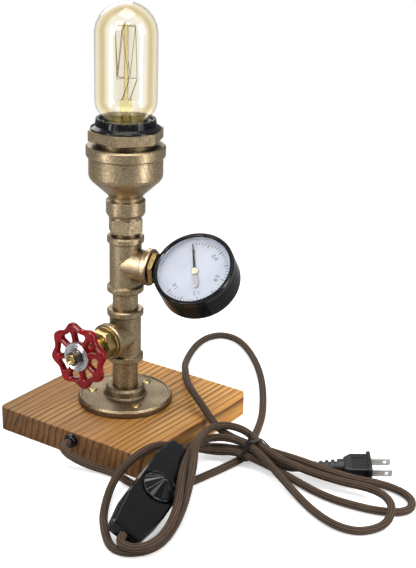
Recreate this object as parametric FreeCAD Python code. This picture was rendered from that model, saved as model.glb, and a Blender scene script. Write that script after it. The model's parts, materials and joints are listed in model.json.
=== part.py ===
"""Industrial pipe table lamp: a pipe-fitting column on a square board, with a tap, a pressure gauge,
a tubular filament bulb and a braided lead with an in-line dimmer and a two-blade plug.

Millimetres, +Z up.  The origin is the centre of the board's bottom face; the pipe column stands on Z.
The tap points along -X.  The gauge hangs on the upper tee, turned towards -Y.
"""
import FreeCAD, Part
import math
import os

Vector = FreeCAD.Vector

# ---------------------------------------------------------------- base board
BOARD_SIDE = 150.0
BOARD_HEIGHT = 20.0
BOARD_CORNER_RADIUS = 6.0
BOARD_EDGE_RADIUS = 1.0
BOARD_CHANNEL_RADIUS = 8.0        # upright hole under the column
WIRE_HOLE_RADIUS = 4.5            # level hole from the left edge to the upright hole
WIRE_HOLE_HEIGHT = 13.5
WIRE_HOLE_Y = -5.0

# ---------------------------------------------------------------- half-inch pipe and its fittings
PIPE_RADIUS = 10.65
PIPE_WALL = 2.8
THREAD_DEPTH = 11.0               # length of thread that goes into a fitting
THREAD_CLEARANCE = 0.05
FITTING_RADIUS = 13.2             # plain body of a tee
BEAD_RADIUS = 15.2                # reinforcing bead at each mouth
BEAD_LENGTH = 5.4
TEE_BORE_RADIUS = 9.0
TEE_REACH = 25.0                  # lamp axis to the branch mouth
LOWER_TEE_LENGTH = 46.0
UPPER_TEE_LENGTH = 48.3

FLANGE_RADIUS = 39.7
FLANGE_THICKNESS = 6.0
FLANGE_RIM_HEIGHT = 0.8
FLANGE_RIM_WIDTH = 2.6
HUB_RADIUS = 16.4
HUB_HEIGHT = 14.0
FLANGE_SCREW_COUNT = 3
FLANGE_SCREW_CIRCLE = 28.0        # radius of the screw circle
FLANGE_SCREW_ANGLE = -3.0
SCREW_HEAD_RADIUS = 4.0
SCREW_SHANK_RADIUS = 1.9
SCREW_LENGTH = 17.0
SCREW_HOLE_CLEARANCE = 0.3

LOWER_NIPPLE_GAP = 23.5           # bare pipe and hub between the flange face and the lower tee
MIDDLE_NIPPLE_GAP = 15.0
HEX_NIPPLE_GAP = 3.2              # bare thread above the upper tee
HEX_NIPPLE_FLATS = 25.0
HEX_NIPPLE_LENGTH = 11.3
HEX_NIPPLE_ANGLE = -12.0
HEX_COLLAR_RADIUS = 12.9
HEX_COLLAR_LENGTH = 2.7

# ---------------------------------------------------------------- bell reducer, bushing and lampholder
BELL_HEIGHT = 57.5
BELL_BEAD_RADIUS = 15.9
BELL_BEAD_LENGTH = 12.9
BELL_NECK_RADIUS = 13.8
BELL_NECK_TOP = 16.4
BELL_CONE_TOP = 31.1
BELL_RADIUS = 29.8
BELL_LIP_RADIUS = 31.8
BELL_LIP_LENGTH = 8.6
BUSH_THREAD_RADIUS = 23.9
BUSH_THREAD_DEPTH = 16.0
BUSH_GAP = 4.3
BUSH_FLATS = 53.6
BUSH_HEX_HEIGHT = 8.5
BUSH_HEX_ANGLE = 23.4
HOLDER_RADIUS = 19.0
HOLDER_DEPTH = 38.0               # below the bushing's top face
HOLDER_RISE = 6.0                 # above it
HOLDER_FLOOR = 3.0
RING_SKIRT_RADIUS = 28.0
RING_SKIRT_HEIGHT = 2.6
RING_COLLAR_RADIUS = 24.6
RING_TOP_RADIUS = 23.7
RING_HEIGHT = 8.6
RING_FLUTES = 28
RING_FLUTE_DEPTH = 0.9
RING_FLUTE_WIDTH = 2.2
SHELL_WALL = 0.5
SCREW_CAP_RADIUS = 13.1           # Edison screw cap of the bulb
CAP_WALL = 0.4
CAP_LENGTH = 25.5
CAP_CLEARANCE = 0.35
CONTACT_RADIUS = 4.5
CONTACT_HEIGHT = 1.8
LEAF_THICKNESS = 0.8

# ---------------------------------------------------------------- bulb
BULB_RADIUS = 24.7
BULB_WALL = 0.8
BULB_TOP_HEIGHT = 98.4            # top of the glass above the bushing's top face
BULB_SHOULDER_HEIGHT = 24.0       # where the tube reaches its full width
BULB_NECK_RADIUS = 12.4
STEM_ROD_RADIUS = 1.8
STEM_FLARE_GAP = 0.3
PINCH_WIDTH = 9.6
PINCH_DEPTH = 3.4
PINCH_LOW = 12.0
PINCH_HIGH = 23.0
SUPPORT_LOW = 40.0
SUPPORT_HIGH = 80.0
SUPPORT_REACH = 8.5
SUPPORT_WIRE_RADIUS = 0.3
STEM_TURN = -56.0                 # the pinch lies across the view from the front left
SUPPORT_COUNT = 5
FILAMENT_RADIUS = 0.25
LEAD_WIRE_RADIUS = 0.4

# ---------------------------------------------------------------- tap on the lower tee
BONNET_RING_RADIUS = 13.4
BONNET_RING_LENGTH = 2.6
BONNET_FLATS = 22.0
BONNET_HEX_LENGTH = 8.0
BONNET_NECK_RADIUS = 7.0
BONNET_NECK_LENGTH = 5.0
PACKING_NUT_FLATS = 15.0
PACKING_NUT_LENGTH = 7.5
TAP_STEM_RADIUS = 3.4
STEM_RUN_CLEARANCE = 0.06
TAP_DISC_RADIUS = 7.2
TAP_DISC_THICKNESS = 3.0
WHEEL_DISTANCE = 60.2             # lamp axis to the middle of the wheel's rim
WHEEL_RADIUS = 25.9               # mean of the scalloped outline
WHEEL_WAVE = 1.95                 # the outline stands out by this at a spoke, in by it between two
WHEEL_THICKNESS = 5.4
WHEEL_EDGE_RADIUS = 1.9
WHEEL_PETALS = 8
WHEEL_RIM_WIDTH = 4.2             # between the outline and a window, midway between two spokes
WHEEL_SPOKE_WIDTH = 4.6
WHEEL_WINDOW_INNER = 12.4
WHEEL_WINDOW_OUTER = 21.6         # at the corners beside the spokes
WHEEL_WINDOW_CORNER = 1.6
WHEEL_SPOKE_ANGLE = 30.7          # first spoke, clockwise from the top as seen from outside
WHEEL_HUB_RADIUS = 8.0
WHEEL_HUB_FRONT_RADIUS = 10.6
WHEEL_HUB_BACK = 7.0
WASHER_RADIUS = 12.0
WASHER_THICKNESS = 1.4
WHEEL_NUT_FLATS = 11.0
WHEEL_NUT_LENGTH = 4.6
STEM_END_RADIUS = 4.3
STEM_END_LENGTH = 2.2

# ---------------------------------------------------------------- gauge on the upper tee
GAUGE_AZIMUTH = -80.5             # direction of the branch seen from above
GAUGE_TILT = 41.0                 # the face leans back from facing straight up
GAUGE_AXIS_DISTANCE = 64.5
GAUGE_FRONT_OFFSET = 12.0         # front rim ahead of the stem's axis
GAUGE_RADIUS = 33.3
GAUGE_DEPTH = 25.5
GAUGE_WALL = 1.2
GAUGE_BACK_RADIUS = 3.0
BEZEL_DEPTH = 5.0
BEZEL_OPENING = 29.8
BEZEL_LIP = 1.6
SEAM_GAP = 0.4
WINDOW_THICKNESS = 2.0
DIAL_DEPTH = 7.2
DIAL_THICKNESS = 0.6
POINTER_DEPTH = 5.8
POINTER_THICKNESS = 0.4
POINTER_LENGTH = 26.0
POINTER_TAIL = 15.0
POINTER_ZERO = -114.0             # clockwise from the dial's top
POINTER_HUB_RADIUS = 3.2
GAUGE_BUSH_FLATS = 24.0
GAUGE_BUSH_LENGTH = 4.2
GAUGE_BUSH_GAP = 1.0
GAUGE_STEM_RADIUS = 6.0
GAUGE_NECK_RADIUS = 3.6
GAUGE_BLOCK_WIDTH = 12.0
GAUGE_BLOCK_DEPTH = 5.8
GAUGE_BLOCK_HEAD = 7.0            # thick end of the block, where the stem enters
GAUGE_BLOCK_END = 2.0             # how far the block's seat runs past the sector's pivot
SPINDLE_RADIUS = 0.7
PINION_TEETH = 12
SECTOR_TEETH_FULL = 72
SECTOR_TEETH = 15
GEAR_MODULE = 0.35
GEAR_THICKNESS = 1.0
TUBE_RADIUS = 22.0                # bourdon tube, to the middle of its section
TUBE_WIDTH = 7.0
TUBE_THICKNESS = 2.0
TUBE_END_ANGLE = 200.0
PLATE_THICKNESS = 1.0
PLATE_GAP = 1.6
PLATE_WIDTH = 10.0
PILLAR_RADIUS = 1.0
ARBOR_CLEARANCE = 0.06
LINK_THICKNESS = 0.8
LINK_GAP = 0.3
SECTOR_TAIL = 9.0
SECTOR_START = 20.0               # the sector stands this far round at zero, so that it can swing back

# ---------------------------------------------------------------- wires and gland
CORD_RADIUS = 3.1
BEND_SHARE = 0.45                 # part of the shorter run that a bend takes
GLAND_RADIUS = 5.5
GLAND_REACH = 5.0
GLAND_BARREL = 14.0
GLAND_CLEARANCE = 0.05
WIRE_RADIUS = 1.1
WIRE_SPACING = 3.0
WIRE_BEND_RADIUS = 4.0

# ---------------------------------------------------------------- in-line dimmer
DIMMER_LENGTH = 110.0
DIMMER_FLAT_LENGTH = 54.0         # full-width, full-height middle part
DIMMER_WIDTH = 33.0
DIMMER_END_WIDTH = 24.5
DIMMER_HEIGHT = 16.0
DIMMER_END_HEIGHT = 11.0
DIMMER_SPLIT = 7.0                # height of the seam between the two shells
DIMMER_WALL = 2.0
DIMMER_BEVEL = 1.6
DIMMER_INLET_HEIGHT = 5.5
DIMMER_CENTRE = Vector(-106.8, -107.2, 12.3)
DIMMER_LONG_AXIS = Vector(0.969, 0.225, 0.105)
DIMMER_NORMAL = Vector(0.034, -0.539, 0.841)
KNOB_X = -5.0
KNOB_Y = -0.8
KNOB_RADIUS = 13.0
KNOB_FLUTE_DEPTH = 0.7
KNOB_TIP_RADIUS = 2.2
KNOB_SKIRT = 2.0
KNOB_HEIGHT = 11.5
KNOB_FLUTES = 12
KNOB_RECESS_RADIUS = 14.8
KNOB_RECESS_DEPTH = 1.6
KNOB_GAP = 0.4
POT_RADIUS = 8.0
POT_SHAFT_RADIUS = 2.5
SHAFT_CLEARANCE = 0.06
SHAFT_IN_POT = 5.0
SHAFT_IN_KNOB = 6.5
CIRCUIT_LENGTH = 64.0
CIRCUIT_WIDTH = 22.0
CIRCUIT_THICKNESS = 1.6
CIRCUIT_STANDOFF = 1.6
STANDOFF_RADIUS = 1.5
CHOKE_X = 17.0
CHOKE_OUTER = 7.0
CHOKE_INNER = 3.5
CHOKE_HEIGHT = 6.0
CAPACITOR_X = -22.5
CAPACITOR_LENGTH = 11.0
CAPACITOR_WIDTH = 6.0
CAPACITOR_HEIGHT = 6.5
CASE_SCREW_X = 38.0
CASE_SCREW_Y = 7.0
CASE_SCREW_RADIUS = 1.2
CASE_SCREW_HEAD_RADIUS = 2.4
CASE_SCREW_HEAD_HEIGHT = 1.3
CASE_SCREW_SINK = 1.5
CASE_SCREW_LENGTH = 9.5
CASE_BOSS_RADIUS = 3.0
CASE_WIRE_END = 4.0               # how far the wires reach over the circuit board

# ---------------------------------------------------------------- plug
PLUG_FACE = Vector(34.9, -216.1, 10.1)
PLUG_AXIS = Vector(0.575, -0.818, 0.0)
PLUG_ROLL = 14.0
PLUG_LENGTH = 21.0                # plate and body
PLUG_BODY_WIDTH = 19.5
PLUG_BODY_HEIGHT = 11.6
PLUG_REAR_WIDTH = 13.6
PLUG_REAR_HEIGHT = 9.4
PLUG_TAPER = 5.5
PLUG_CORNER_RADIUS = 1.2
PLUG_PLATE_THICKNESS = 2.6
PLUG_PLATE_WIDTH = 23.5
PLUG_PLATE_HEIGHT = 15.5
PLUG_PLATE_CORNER = 3.0
PLUG_PANEL_LENGTH = 9.0           # sunk rectangle on the broad faces
PLUG_PANEL_WIDTH = 10.5
PLUG_PANEL_DEPTH = 0.6
RELIEF_RADIUS = 6.3
RELIEF_RADIUS_START = 5.2
RELIEF_CORE_RADIUS = 4.4
RELIEF_RIBS = 5
RELIEF_RIB_SHARE = 0.55           # part of each rib's pitch that stands proud
BLADE_WIDTH = 6.35
BLADE_THICKNESS = 1.5
BLADE_LENGTH = 16.5
BLADE_ROOT = 6.0
BLADE_SPACING = 12.7
BLADE_HOLE_RADIUS = 1.6
BLADE_HOLE_BACK = 4.4             # hole to the blade's end
BLADE_CORNER = 1.6

# ---------------------------------------------------------------- tie round the coiled lead
TIE_PLACE = Vector(0.0, -130.0, 0.0)
TIE_DIRECTION = Vector(-0.35, -0.937, 0.0)
TIE_REACH = 22.0                  # the strands within this of the tie's middle are held
TIE_SLACK = 0.7
TIE_THICKNESS = 0.8
TIE_WIDTH = 3.0
TIE_HEAD = 4.2
TIE_HEAD_SIDE = -5.2              # across the strands, from the tie's middle
TIE_HEAD_DROP = 1.6               # the head's middle below its own half height over the band
TIE_TAIL = 9.0
TIE_TAIL_WIDTH = 2.2

# ---------------------------------------------------------------- route of the two leads, bend by bend
LAMP_ROUTE = [
    (-80, -5, 13.5), (-86.5, -5, 13.5), (-91, -9, 12.5), (-92, -18, 9.5), (-87.5, -31.5, 4.5), (-82.5, -54.5, 3.1),
    (-89.5, -78.5, 3.1), (-88, -95, 3.1), (-76, -105.5, 3.1), (-51, -112, 3.1), (-17.5, -119, 3.1), (6, -122, 3.1),
    (32, -110, 3.1), (68, -96, 3.1), (101.5, -76.5, 3.1), (134, -55, 3.1), (164, -30.5, 3.1), (190, -3.5, 3.1),
    (203.5, 17.5, 3.1), (204, 31.5, 3.1), (198.5, 39, 3.1), (186.5, 43, 3.1), (166.5, 41, 3.1), (139.5, 31.5, 3.1),
    (106.5, 12.5, 11), (70.5, -12.5, 26.5), (38, -37.5, 30), (15, -68, 29.5), (9.5, -86.5, 16.5), (10, -102.5, 10.5),
    (11.5, -133, 9), (3.5, -169, 15), (9, -208, 10), (27, -229.5, 3.5), (27, -246.5, 3.1), (20, -259.5, 3.5),
    (9, -265, 3.1), (-0.5, -262.5, 3.1), (-8, -253, 3.1), (-13.5, -236.5, 3.1), (-16.5, -205, 3.1), (-7.5, -171, 3.1),
    (-3, -147, 5), (-8.5, -119.5, 11.5), (-11, -101.5, 6.5), (-20, -91, 9.5), (-33.5, -91, 18), (-46.5, -96.2, 23.4),
    (-55.27, -98.24, 22.49)]
PLUG_ROUTE = [
    (-157.95, -122.09, 11.36), (-165.8, -123.6, 10.6), (-169, -129, 10), (-167, -137.5, 9), (-157.5, -144.5, 9.5),
    (-139, -144.5, 10.5), (-115, -137.5, 17), (-86, -120, 27.5), (-53, -106.5, 30), (-29, -95.5, 19.5),
    (-11.5, -93, 16), (-2.5, -101.5, 16.5), (-1, -118, 17), (-4.5, -137.5, 15), (-14.5, -164, 6), (-36, -199.5, 3.1),
    (-48, -226, 3.5), (-47.5, -243.5, 3.1), (-39.5, -254, 3.1), (-26, -261, 4.5), (-12, -259, 10), (0.5, -248, 10.5),
    (10.5, -228.5, 7), (1, -201.5, 9), (-4, -163.5, 13), (2.5, -136.5, 15.5), (13, -119.5, 17), (15.5, -106.5, 18.5),
    (9.5, -95.5, 20.5), (-2, -90.5, 21.5), (-25.5, -97.5, 27.5), (-57.5, -112, 36.5), (-82, -127.5, 29),
    (-108, -136.5, 9), (-136, -143, 3.1), (-154.5, -142, 3.1), (-165, -133.5, 3.1), (-168.5, -125, 3.1),
    (-166.5, -115.5, 3.1), (-155.5, -102.5, 3.5), (-134.5, -83.5, 3.1), (-100.5, -68, 13.5), (-74, -74, 25.5),
    (-56.5, -78.5, 25), (-38, -79.5, 15), (-20, -78.5, 5.5), (-8, -80.5, 3.5), (-2.5, -89.5, 3.5), (-3.5, -106.5, 9),
    (2, -132.5, 10), (3.5, -158, 4), (7, -170, 6.5), (11.9, -178.1, 7)]

NODES = {}


# ================================================================ helpers
def keep(name, shape):
    """Register one named piece."""
    NODES[name] = shape


def cylinder(radius, low, high):
    return Part.makeCylinder(radius, high - low, Vector(0, 0, low))


def ring(outer, inner, low, high):
    return cylinder(outer, low, high).cut(cylinder(inner, low - 1.0, high + 1.0))


def revolved(profile):
    """Turn a closed outline of (radius, height) points about Z."""
    points = [Vector(radius, 0, height) for radius, height in profile]
    points.append(points[0])
    return Part.Face(Part.makePolygon(points)).revolve(Vector(0, 0, 0), Vector(0, 0, 1), 360)


def polygon_prism(points, low, high):
    corners = [Vector(x, y, low) for x, y in points]
    corners.append(corners[0])
    return Part.Face(Part.makePolygon(corners)).extrude(Vector(0, 0, high - low))


def hexagon(flats, low, high, angle=0.0, chamfer=0.0):
    """Hexagonal prism of one width across flats, with turned chamfers on both end faces."""
    radius = flats / math.sqrt(3.0)
    points = [polar(radius, angle + 60.0 * k) for k in range(6)]
    prism = polygon_prism(points, low, high)
    if chamfer:
        rim = radius - chamfer
        limit = revolved([(0, low), (rim, low), (radius, low + chamfer * 0.6), (radius + 0.1, low + chamfer * 0.6),
                          (radius + 0.1, high - chamfer * 0.6), (radius, high - chamfer * 0.6), (rim, high), (0, high)])
        prism = prism.common(limit)
    return prism


def polar(radius, degrees):
    angle = math.radians(degrees)
    return (radius * math.cos(angle), radius * math.sin(angle))


def local_frame(origin, x_axis, z_axis):
    """Placement whose local Z is z_axis and whose local X is as near x_axis as it can be."""
    z = Vector(z_axis).normalize()
    y = z.cross(Vector(x_axis)).normalize()
    x = y.cross(z)
    matrix = FreeCAD.Matrix(x.x, y.x, z.x, origin.x,
                            x.y, y.y, z.y, origin.y,
                            x.z, y.z, z.z, origin.z,
                            0, 0, 0, 1)
    return FreeCAD.Placement(matrix)


def placed(shape, placement):
    moved = shape.copy()
    moved.Placement = placement.multiply(moved.Placement)
    return moved


def box(x_size, y_size, z_size, centre):
    """Box centred in X and Y on a point that is the middle of its bottom face."""
    corner = Vector(centre.x - x_size / 2, centre.y - y_size / 2, centre.z)
    return Part.makeBox(x_size, y_size, z_size, corner)


# ================================================================ heights up the column
FLANGE_LOW = BOARD_HEIGHT
LOWER_TEE_LOW = FLANGE_LOW + HUB_HEIGHT + LOWER_NIPPLE_GAP
LOWER_TEE_HIGH = LOWER_TEE_LOW + LOWER_TEE_LENGTH
UPPER_TEE_LOW = LOWER_TEE_HIGH + MIDDLE_NIPPLE_GAP
UPPER_TEE_HIGH = UPPER_TEE_LOW + UPPER_TEE_LENGTH
HEX_LOW = UPPER_TEE_HIGH + HEX_NIPPLE_GAP
BELL_LOW = HEX_LOW + HEX_NIPPLE_LENGTH + HEX_COLLAR_LENGTH
BELL_HIGH = BELL_LOW + BELL_HEIGHT
BUSH_LOW = BELL_HIGH + BUSH_GAP
BUSH_HIGH = BUSH_LOW + BUSH_HEX_HEIGHT
HOLDER_LOW = BUSH_HIGH - HOLDER_DEPTH
TAP_HEIGHT = LOWER_TEE_LOW + LOWER_TEE_LENGTH / 2
GAUGE_HEIGHT = UPPER_TEE_LOW + UPPER_TEE_LENGTH / 2
SOCKET_RADIUS = PIPE_RADIUS + THREAD_CLEARANCE
PIPE_BORE = PIPE_RADIUS - PIPE_WALL


# ================================================================ base and column
def base_board():
    half = BOARD_SIDE / 2
    board = Part.makeBox(BOARD_SIDE, BOARD_SIDE, BOARD_HEIGHT, Vector(-half, -half, 0))
    upright = [e for e in board.Edges if abs(e.BoundBox.ZLength - BOARD_HEIGHT) < 1e-6]
    board = board.makeFillet(BOARD_CORNER_RADIUS, upright)
    rim = [e for e in board.Edges if e.BoundBox.ZLength < 1e-6 and e.BoundBox.ZMin > BOARD_HEIGHT / 2]
    board = board.makeFillet(BOARD_EDGE_RADIUS, rim)
    low = WIRE_HOLE_HEIGHT - WIRE_HOLE_RADIUS - 1.5
    board = board.cut(cylinder(BOARD_CHANNEL_RADIUS, low, BOARD_HEIGHT + 1.0))
    side_hole = Part.makeCylinder(WIRE_HOLE_RADIUS, half + 1.0, Vector(-half - 1.0, WIRE_HOLE_Y, WIRE_HOLE_HEIGHT),
                                  Vector(1, 0, 0))
    board = board.cut(side_hole)
    for x, y in flange_screw_places():
        depth = SCREW_LENGTH - FLANGE_THICKNESS
        pilot = cylinder(SCREW_SHANK_RADIUS, BOARD_HEIGHT - depth, BOARD_HEIGHT + 1.0)
        pilot.translate(Vector(x, y, 0))
        board = board.cut(pilot)
    return board


def flange_screw_places():
    step = 360.0 / FLANGE_SCREW_COUNT
    return [polar(FLANGE_SCREW_CIRCLE, FLANGE_SCREW_ANGLE + step * k) for k in range(FLANGE_SCREW_COUNT)]


def floor_flange():
    low = FLANGE_LOW
    top = low + FLANGE_THICKNESS
    rim = top + FLANGE_RIM_HEIGHT
    hub = low + HUB_HEIGHT
    inner_rim = FLANGE_RADIUS - FLANGE_RIM_WIDTH
    profile = [(SOCKET_RADIUS, low), (FLANGE_RADIUS - 0.6, low), (FLANGE_RADIUS, low + 0.8),
               (FLANGE_RADIUS, rim - 2.0), (FLANGE_RADIUS - 1.2, rim), (inner_rim, rim), (inner_rim - 0.6, top),
               (HUB_RADIUS + 2.0, top), (HUB_RADIUS + 0.4, top + 1.6), (HUB_RADIUS, hub - 2.0),
               (HUB_RADIUS - 1.8, hub), (SOCKET_RADIUS, hub)]
    flange = revolved(profile)
    for x, y in flange_screw_places():
        hole = cylinder(SCREW_SHANK_RADIUS + SCREW_HOLE_CLEARANCE, low - 1.0, rim + 1.0)
        wide = SCREW_HEAD_RADIUS + SCREW_HOLE_CLEARANCE
        seat = Part.makeCone(SCREW_SHANK_RADIUS, wide, 2.4, Vector(0, 0, top - 2.4))
        hole = hole.fuse(seat)
        hole.translate(Vector(x, y, 0))
        flange = flange.cut(hole)
    return flange


def flange_screws():
    """Countersunk wood screws with crossed slots, one solid each."""
    top = FLANGE_LOW + FLANGE_THICKNESS
    screws = []
    for x, y in flange_screw_places():
        head = revolved([(0, top - 2.4), (SCREW_SHANK_RADIUS - 0.1, top - 2.4), (SCREW_HEAD_RADIUS - 0.1, top - 0.1),
                         (SCREW_HEAD_RADIUS * 0.6, top + 0.9), (0, top + 1.2)])
        shank = cylinder(SCREW_SHANK_RADIUS - 0.1, top + 0.4 - SCREW_LENGTH, top - 1.0)
        screw = head.fuse(shank)
        for angle in (20.0, 110.0):
            slot = box(4.4, 0.8, 3.0, Vector(0, 0, top + 0.1))
            slot.rotate(Vector(0, 0, 0), Vector(0, 0, 1), angle)
            screw = screw.cut(slot)
        screw.translate(Vector(x, y, 0))
        screws.append(screw)
    return Part.makeCompound(screws)


def bead(low, high, towards):
    """Raised ring at a mouth of a fitting; its far side slopes back to the body."""
    if towards > 0:
        profile = [(FITTING_RADIUS - 1.0, low - 0.9), (FITTING_RADIUS, low - 0.9), (BEAD_RADIUS, low + 0.4),
                   (BEAD_RADIUS, high - 1.0), (BEAD_RADIUS - 1.0, high), (FITTING_RADIUS - 1.0, high)]
    else:
        profile = [(FITTING_RADIUS - 1.0, low), (BEAD_RADIUS - 1.0, low), (BEAD_RADIUS, low + 1.0),
                   (BEAD_RADIUS, high - 0.4), (FITTING_RADIUS, high + 0.9), (FITTING_RADIUS - 1.0, high + 0.9)]
    return revolved(profile)


def tee(low, length, azimuth):
    """Malleable tee on the column, with its branch level at one azimuth."""
    high = low + length
    middle = low + length / 2
    body = cylinder(FITTING_RADIUS, low, high)
    body = body.fuse(bead(low, low + BEAD_LENGTH, -1))
    body = body.fuse(bead(high - BEAD_LENGTH, high, 1))
    branch = cylinder(FITTING_RADIUS, 0, TEE_REACH)
    branch = branch.fuse(bead(TEE_REACH - BEAD_LENGTH, TEE_REACH, 1))
    cavity = cylinder(TEE_BORE_RADIUS, 0, TEE_REACH)
    cavity = cavity.fuse(cylinder(SOCKET_RADIUS, TEE_REACH - THREAD_DEPTH, TEE_REACH + 1.0))
    outwards = branch_frame(middle, azimuth)
    body = body.fuse(placed(branch, outwards))
    run = cylinder(TEE_BORE_RADIUS, low - 1.0, high + 1.0)
    run = run.fuse(cylinder(SOCKET_RADIUS, low - 1.0, low + THREAD_DEPTH))
    run = run.fuse(cylinder(SOCKET_RADIUS, high - THREAD_DEPTH, high + 1.0))
    return body.cut(run).cut(placed(cavity, outwards)).removeSplitter()


def branch_frame(height, azimuth):
    """Local Z runs outwards along a branch and local X points up."""
    x, y = polar(1.0, azimuth)
    return local_frame(Vector(0, 0, height), Vector(0, 0, 1), Vector(x, y, 0))


def pipe_nipple(low, high):
    return ring(PIPE_RADIUS, PIPE_BORE, low, high)


def hex_nipple():
    low = UPPER_TEE_HIGH - THREAD_DEPTH
    high = BELL_LOW + THREAD_DEPTH
    hex_top = HEX_LOW + HEX_NIPPLE_LENGTH
    shape = cylinder(PIPE_RADIUS, low, high)
    shape = shape.fuse(hexagon(HEX_NIPPLE_FLATS, HEX_LOW, hex_top, HEX_NIPPLE_ANGLE, 0.9))
    shape = shape.fuse(cylinder(HEX_COLLAR_RADIUS, hex_top, hex_top + HEX_COLLAR_LENGTH - 0.6))
    return shape.cut(cylinder(PIPE_BORE, low - 1.0, high + 1.0))


def bell_reducer():
    z = BELL_LOW
    lip = BELL_HEIGHT - BELL_LIP_LENGTH
    wall = 3.6
    profile = [(SOCKET_RADIUS, 0), (BELL_BEAD_RADIUS - 1.2, 0), (BELL_BEAD_RADIUS, 2.2),
               (BELL_BEAD_RADIUS, BELL_BEAD_LENGTH - 0.6), (BELL_NECK_RADIUS, BELL_BEAD_LENGTH + 0.8),
               (BELL_NECK_RADIUS, BELL_NECK_TOP - 1.0), (BELL_NECK_RADIUS + 0.9, BELL_NECK_TOP + 0.8),
               (BELL_RADIUS - 2.2, BELL_CONE_TOP - 2.0), (BELL_RADIUS - 0.6, BELL_CONE_TOP + 0.2),
               (BELL_RADIUS, BELL_CONE_TOP + 2.6), (BELL_RADIUS, lip - 0.6), (BELL_LIP_RADIUS - 0.4, lip),
               (BELL_LIP_RADIUS, lip + 0.8), (BELL_LIP_RADIUS, BELL_HEIGHT - 1.2), (BELL_LIP_RADIUS - 1.2, BELL_HEIGHT),
               (BUSH_THREAD_RADIUS + THREAD_CLEARANCE, BELL_HEIGHT),
               (BUSH_THREAD_RADIUS + THREAD_CLEARANCE, BELL_HEIGHT - BUSH_THREAD_DEPTH - 1.0),
               (BELL_RADIUS - wall - 4.0, BELL_CONE_TOP + 2.0), (SOCKET_RADIUS, BELL_NECK_TOP + 2.0)]
    return revolved([(radius, z + height) for radius, height in profile])


def hex_bushing():
    bore = HOLDER_RADIUS + 0.3
    low = BELL_HIGH - BUSH_THREAD_DEPTH
    head = hexagon(BUSH_FLATS, BUSH_LOW, BUSH_HIGH, BUSH_HEX_ANGLE, 0.8)
    thread = cylinder(BUSH_THREAD_RADIUS, low, BUSH_LOW + 0.5)
    return head.fuse(thread).cut(cylinder(bore, low - 1.0, BUSH_HIGH + 1.0))


# ================================================================ lampholder
def lampholder_body():
    """Moulded holder: a cup that the screw shell sits in, with two wire holes in its floor."""
    top = BUSH_HIGH + HOLDER_RISE
    inner = SCREW_CAP_RADIUS + CAP_CLEARANCE + SHELL_WALL + 0.3
    cup = cylinder(HOLDER_RADIUS, HOLDER_LOW, top)
    cup = cup.cut(cylinder(inner, HOLDER_LOW + HOLDER_FLOOR, top + 1.0))
    flare = Part.makeCone(inner, BULB_NECK_RADIUS + 5.2, 8.0, Vector(0, 0, top - 8.0 + 0.001))
    return cup.cut(flare)


def shade_ring():
    """Threaded ring with a castellated collar and a notched skirt that covers the bushing's face."""
    low = BUSH_HIGH
    skirt_top = low + RING_SKIRT_HEIGHT
    top = low + RING_HEIGHT
    bore = HOLDER_RADIUS + 0.15
    shape = revolved([(bore, low), (RING_SKIRT_RADIUS, low), (RING_SKIRT_RADIUS, low + 1.2),
                      (RING_COLLAR_RADIUS + 1.0, skirt_top), (RING_COLLAR_RADIUS, skirt_top + 0.6),
                      (RING_TOP_RADIUS, top), (RING_TOP_RADIUS - 2.4, top), (bore + 1.2, top - 2.0), (bore, top - 3.0)])
    for k in range(RING_FLUTES):
        angle = 360.0 * k / RING_FLUTES
        place = Vector(RING_COLLAR_RADIUS - 0.2, 0, skirt_top + 0.7)
        flute = box(RING_FLUTE_DEPTH * 2, RING_FLUTE_WIDTH, RING_HEIGHT, place)
        crown = box(3.4, 1.3, 2.0, Vector(RING_TOP_RADIUS - 1.0, 0, top - 0.9))
        for cutter, turn in ((flute, angle), (crown, angle + 180.0 / RING_FLUTES)):
            cutter.rotate(Vector(0, 0, 0), Vector(0, 0, 1), turn)
            shape = shape.cut(cutter)
    return shape


def screw_shell():
    inner = SCREW_CAP_RADIUS + CAP_CLEARANCE
    low = HOLDER_LOW + HOLDER_FLOOR
    return ring(inner + SHELL_WALL, inner, low, low + CAP_LENGTH + 1.0)


def contact_leaf():
    low = HOLDER_LOW + HOLDER_FLOOR
    return box(16.0, 5.0, LEAF_THICKNESS, Vector(0, 0, low))


# ================================================================ bulb
CAP_LOW = HOLDER_LOW + HOLDER_FLOOR + LEAF_THICKNESS + CONTACT_HEIGHT


def bulb_contact():
    """Solder button on its insulating disc, one closed piece under the cap."""
    low = CAP_LOW - CONTACT_HEIGHT
    return revolved([(0, low), (CONTACT_RADIUS - 1.0, low), (CONTACT_RADIUS, low + 0.8), (CONTACT_RADIUS, CAP_LOW),
                     (0, CAP_LOW)])


def bulb_cap():
    outer = SCREW_CAP_RADIUS
    inner = outer - CAP_WALL
    shape = ring(outer, inner, CAP_LOW + 3.0, CAP_LOW + CAP_LENGTH)
    base = revolved([(0, CAP_LOW), (CONTACT_RADIUS + 1.0, CAP_LOW), (outer, CAP_LOW + 3.0), (inner, CAP_LOW + 3.6),
                     (0, CAP_LOW + 3.6)])
    return shape.fuse(base)


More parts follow.
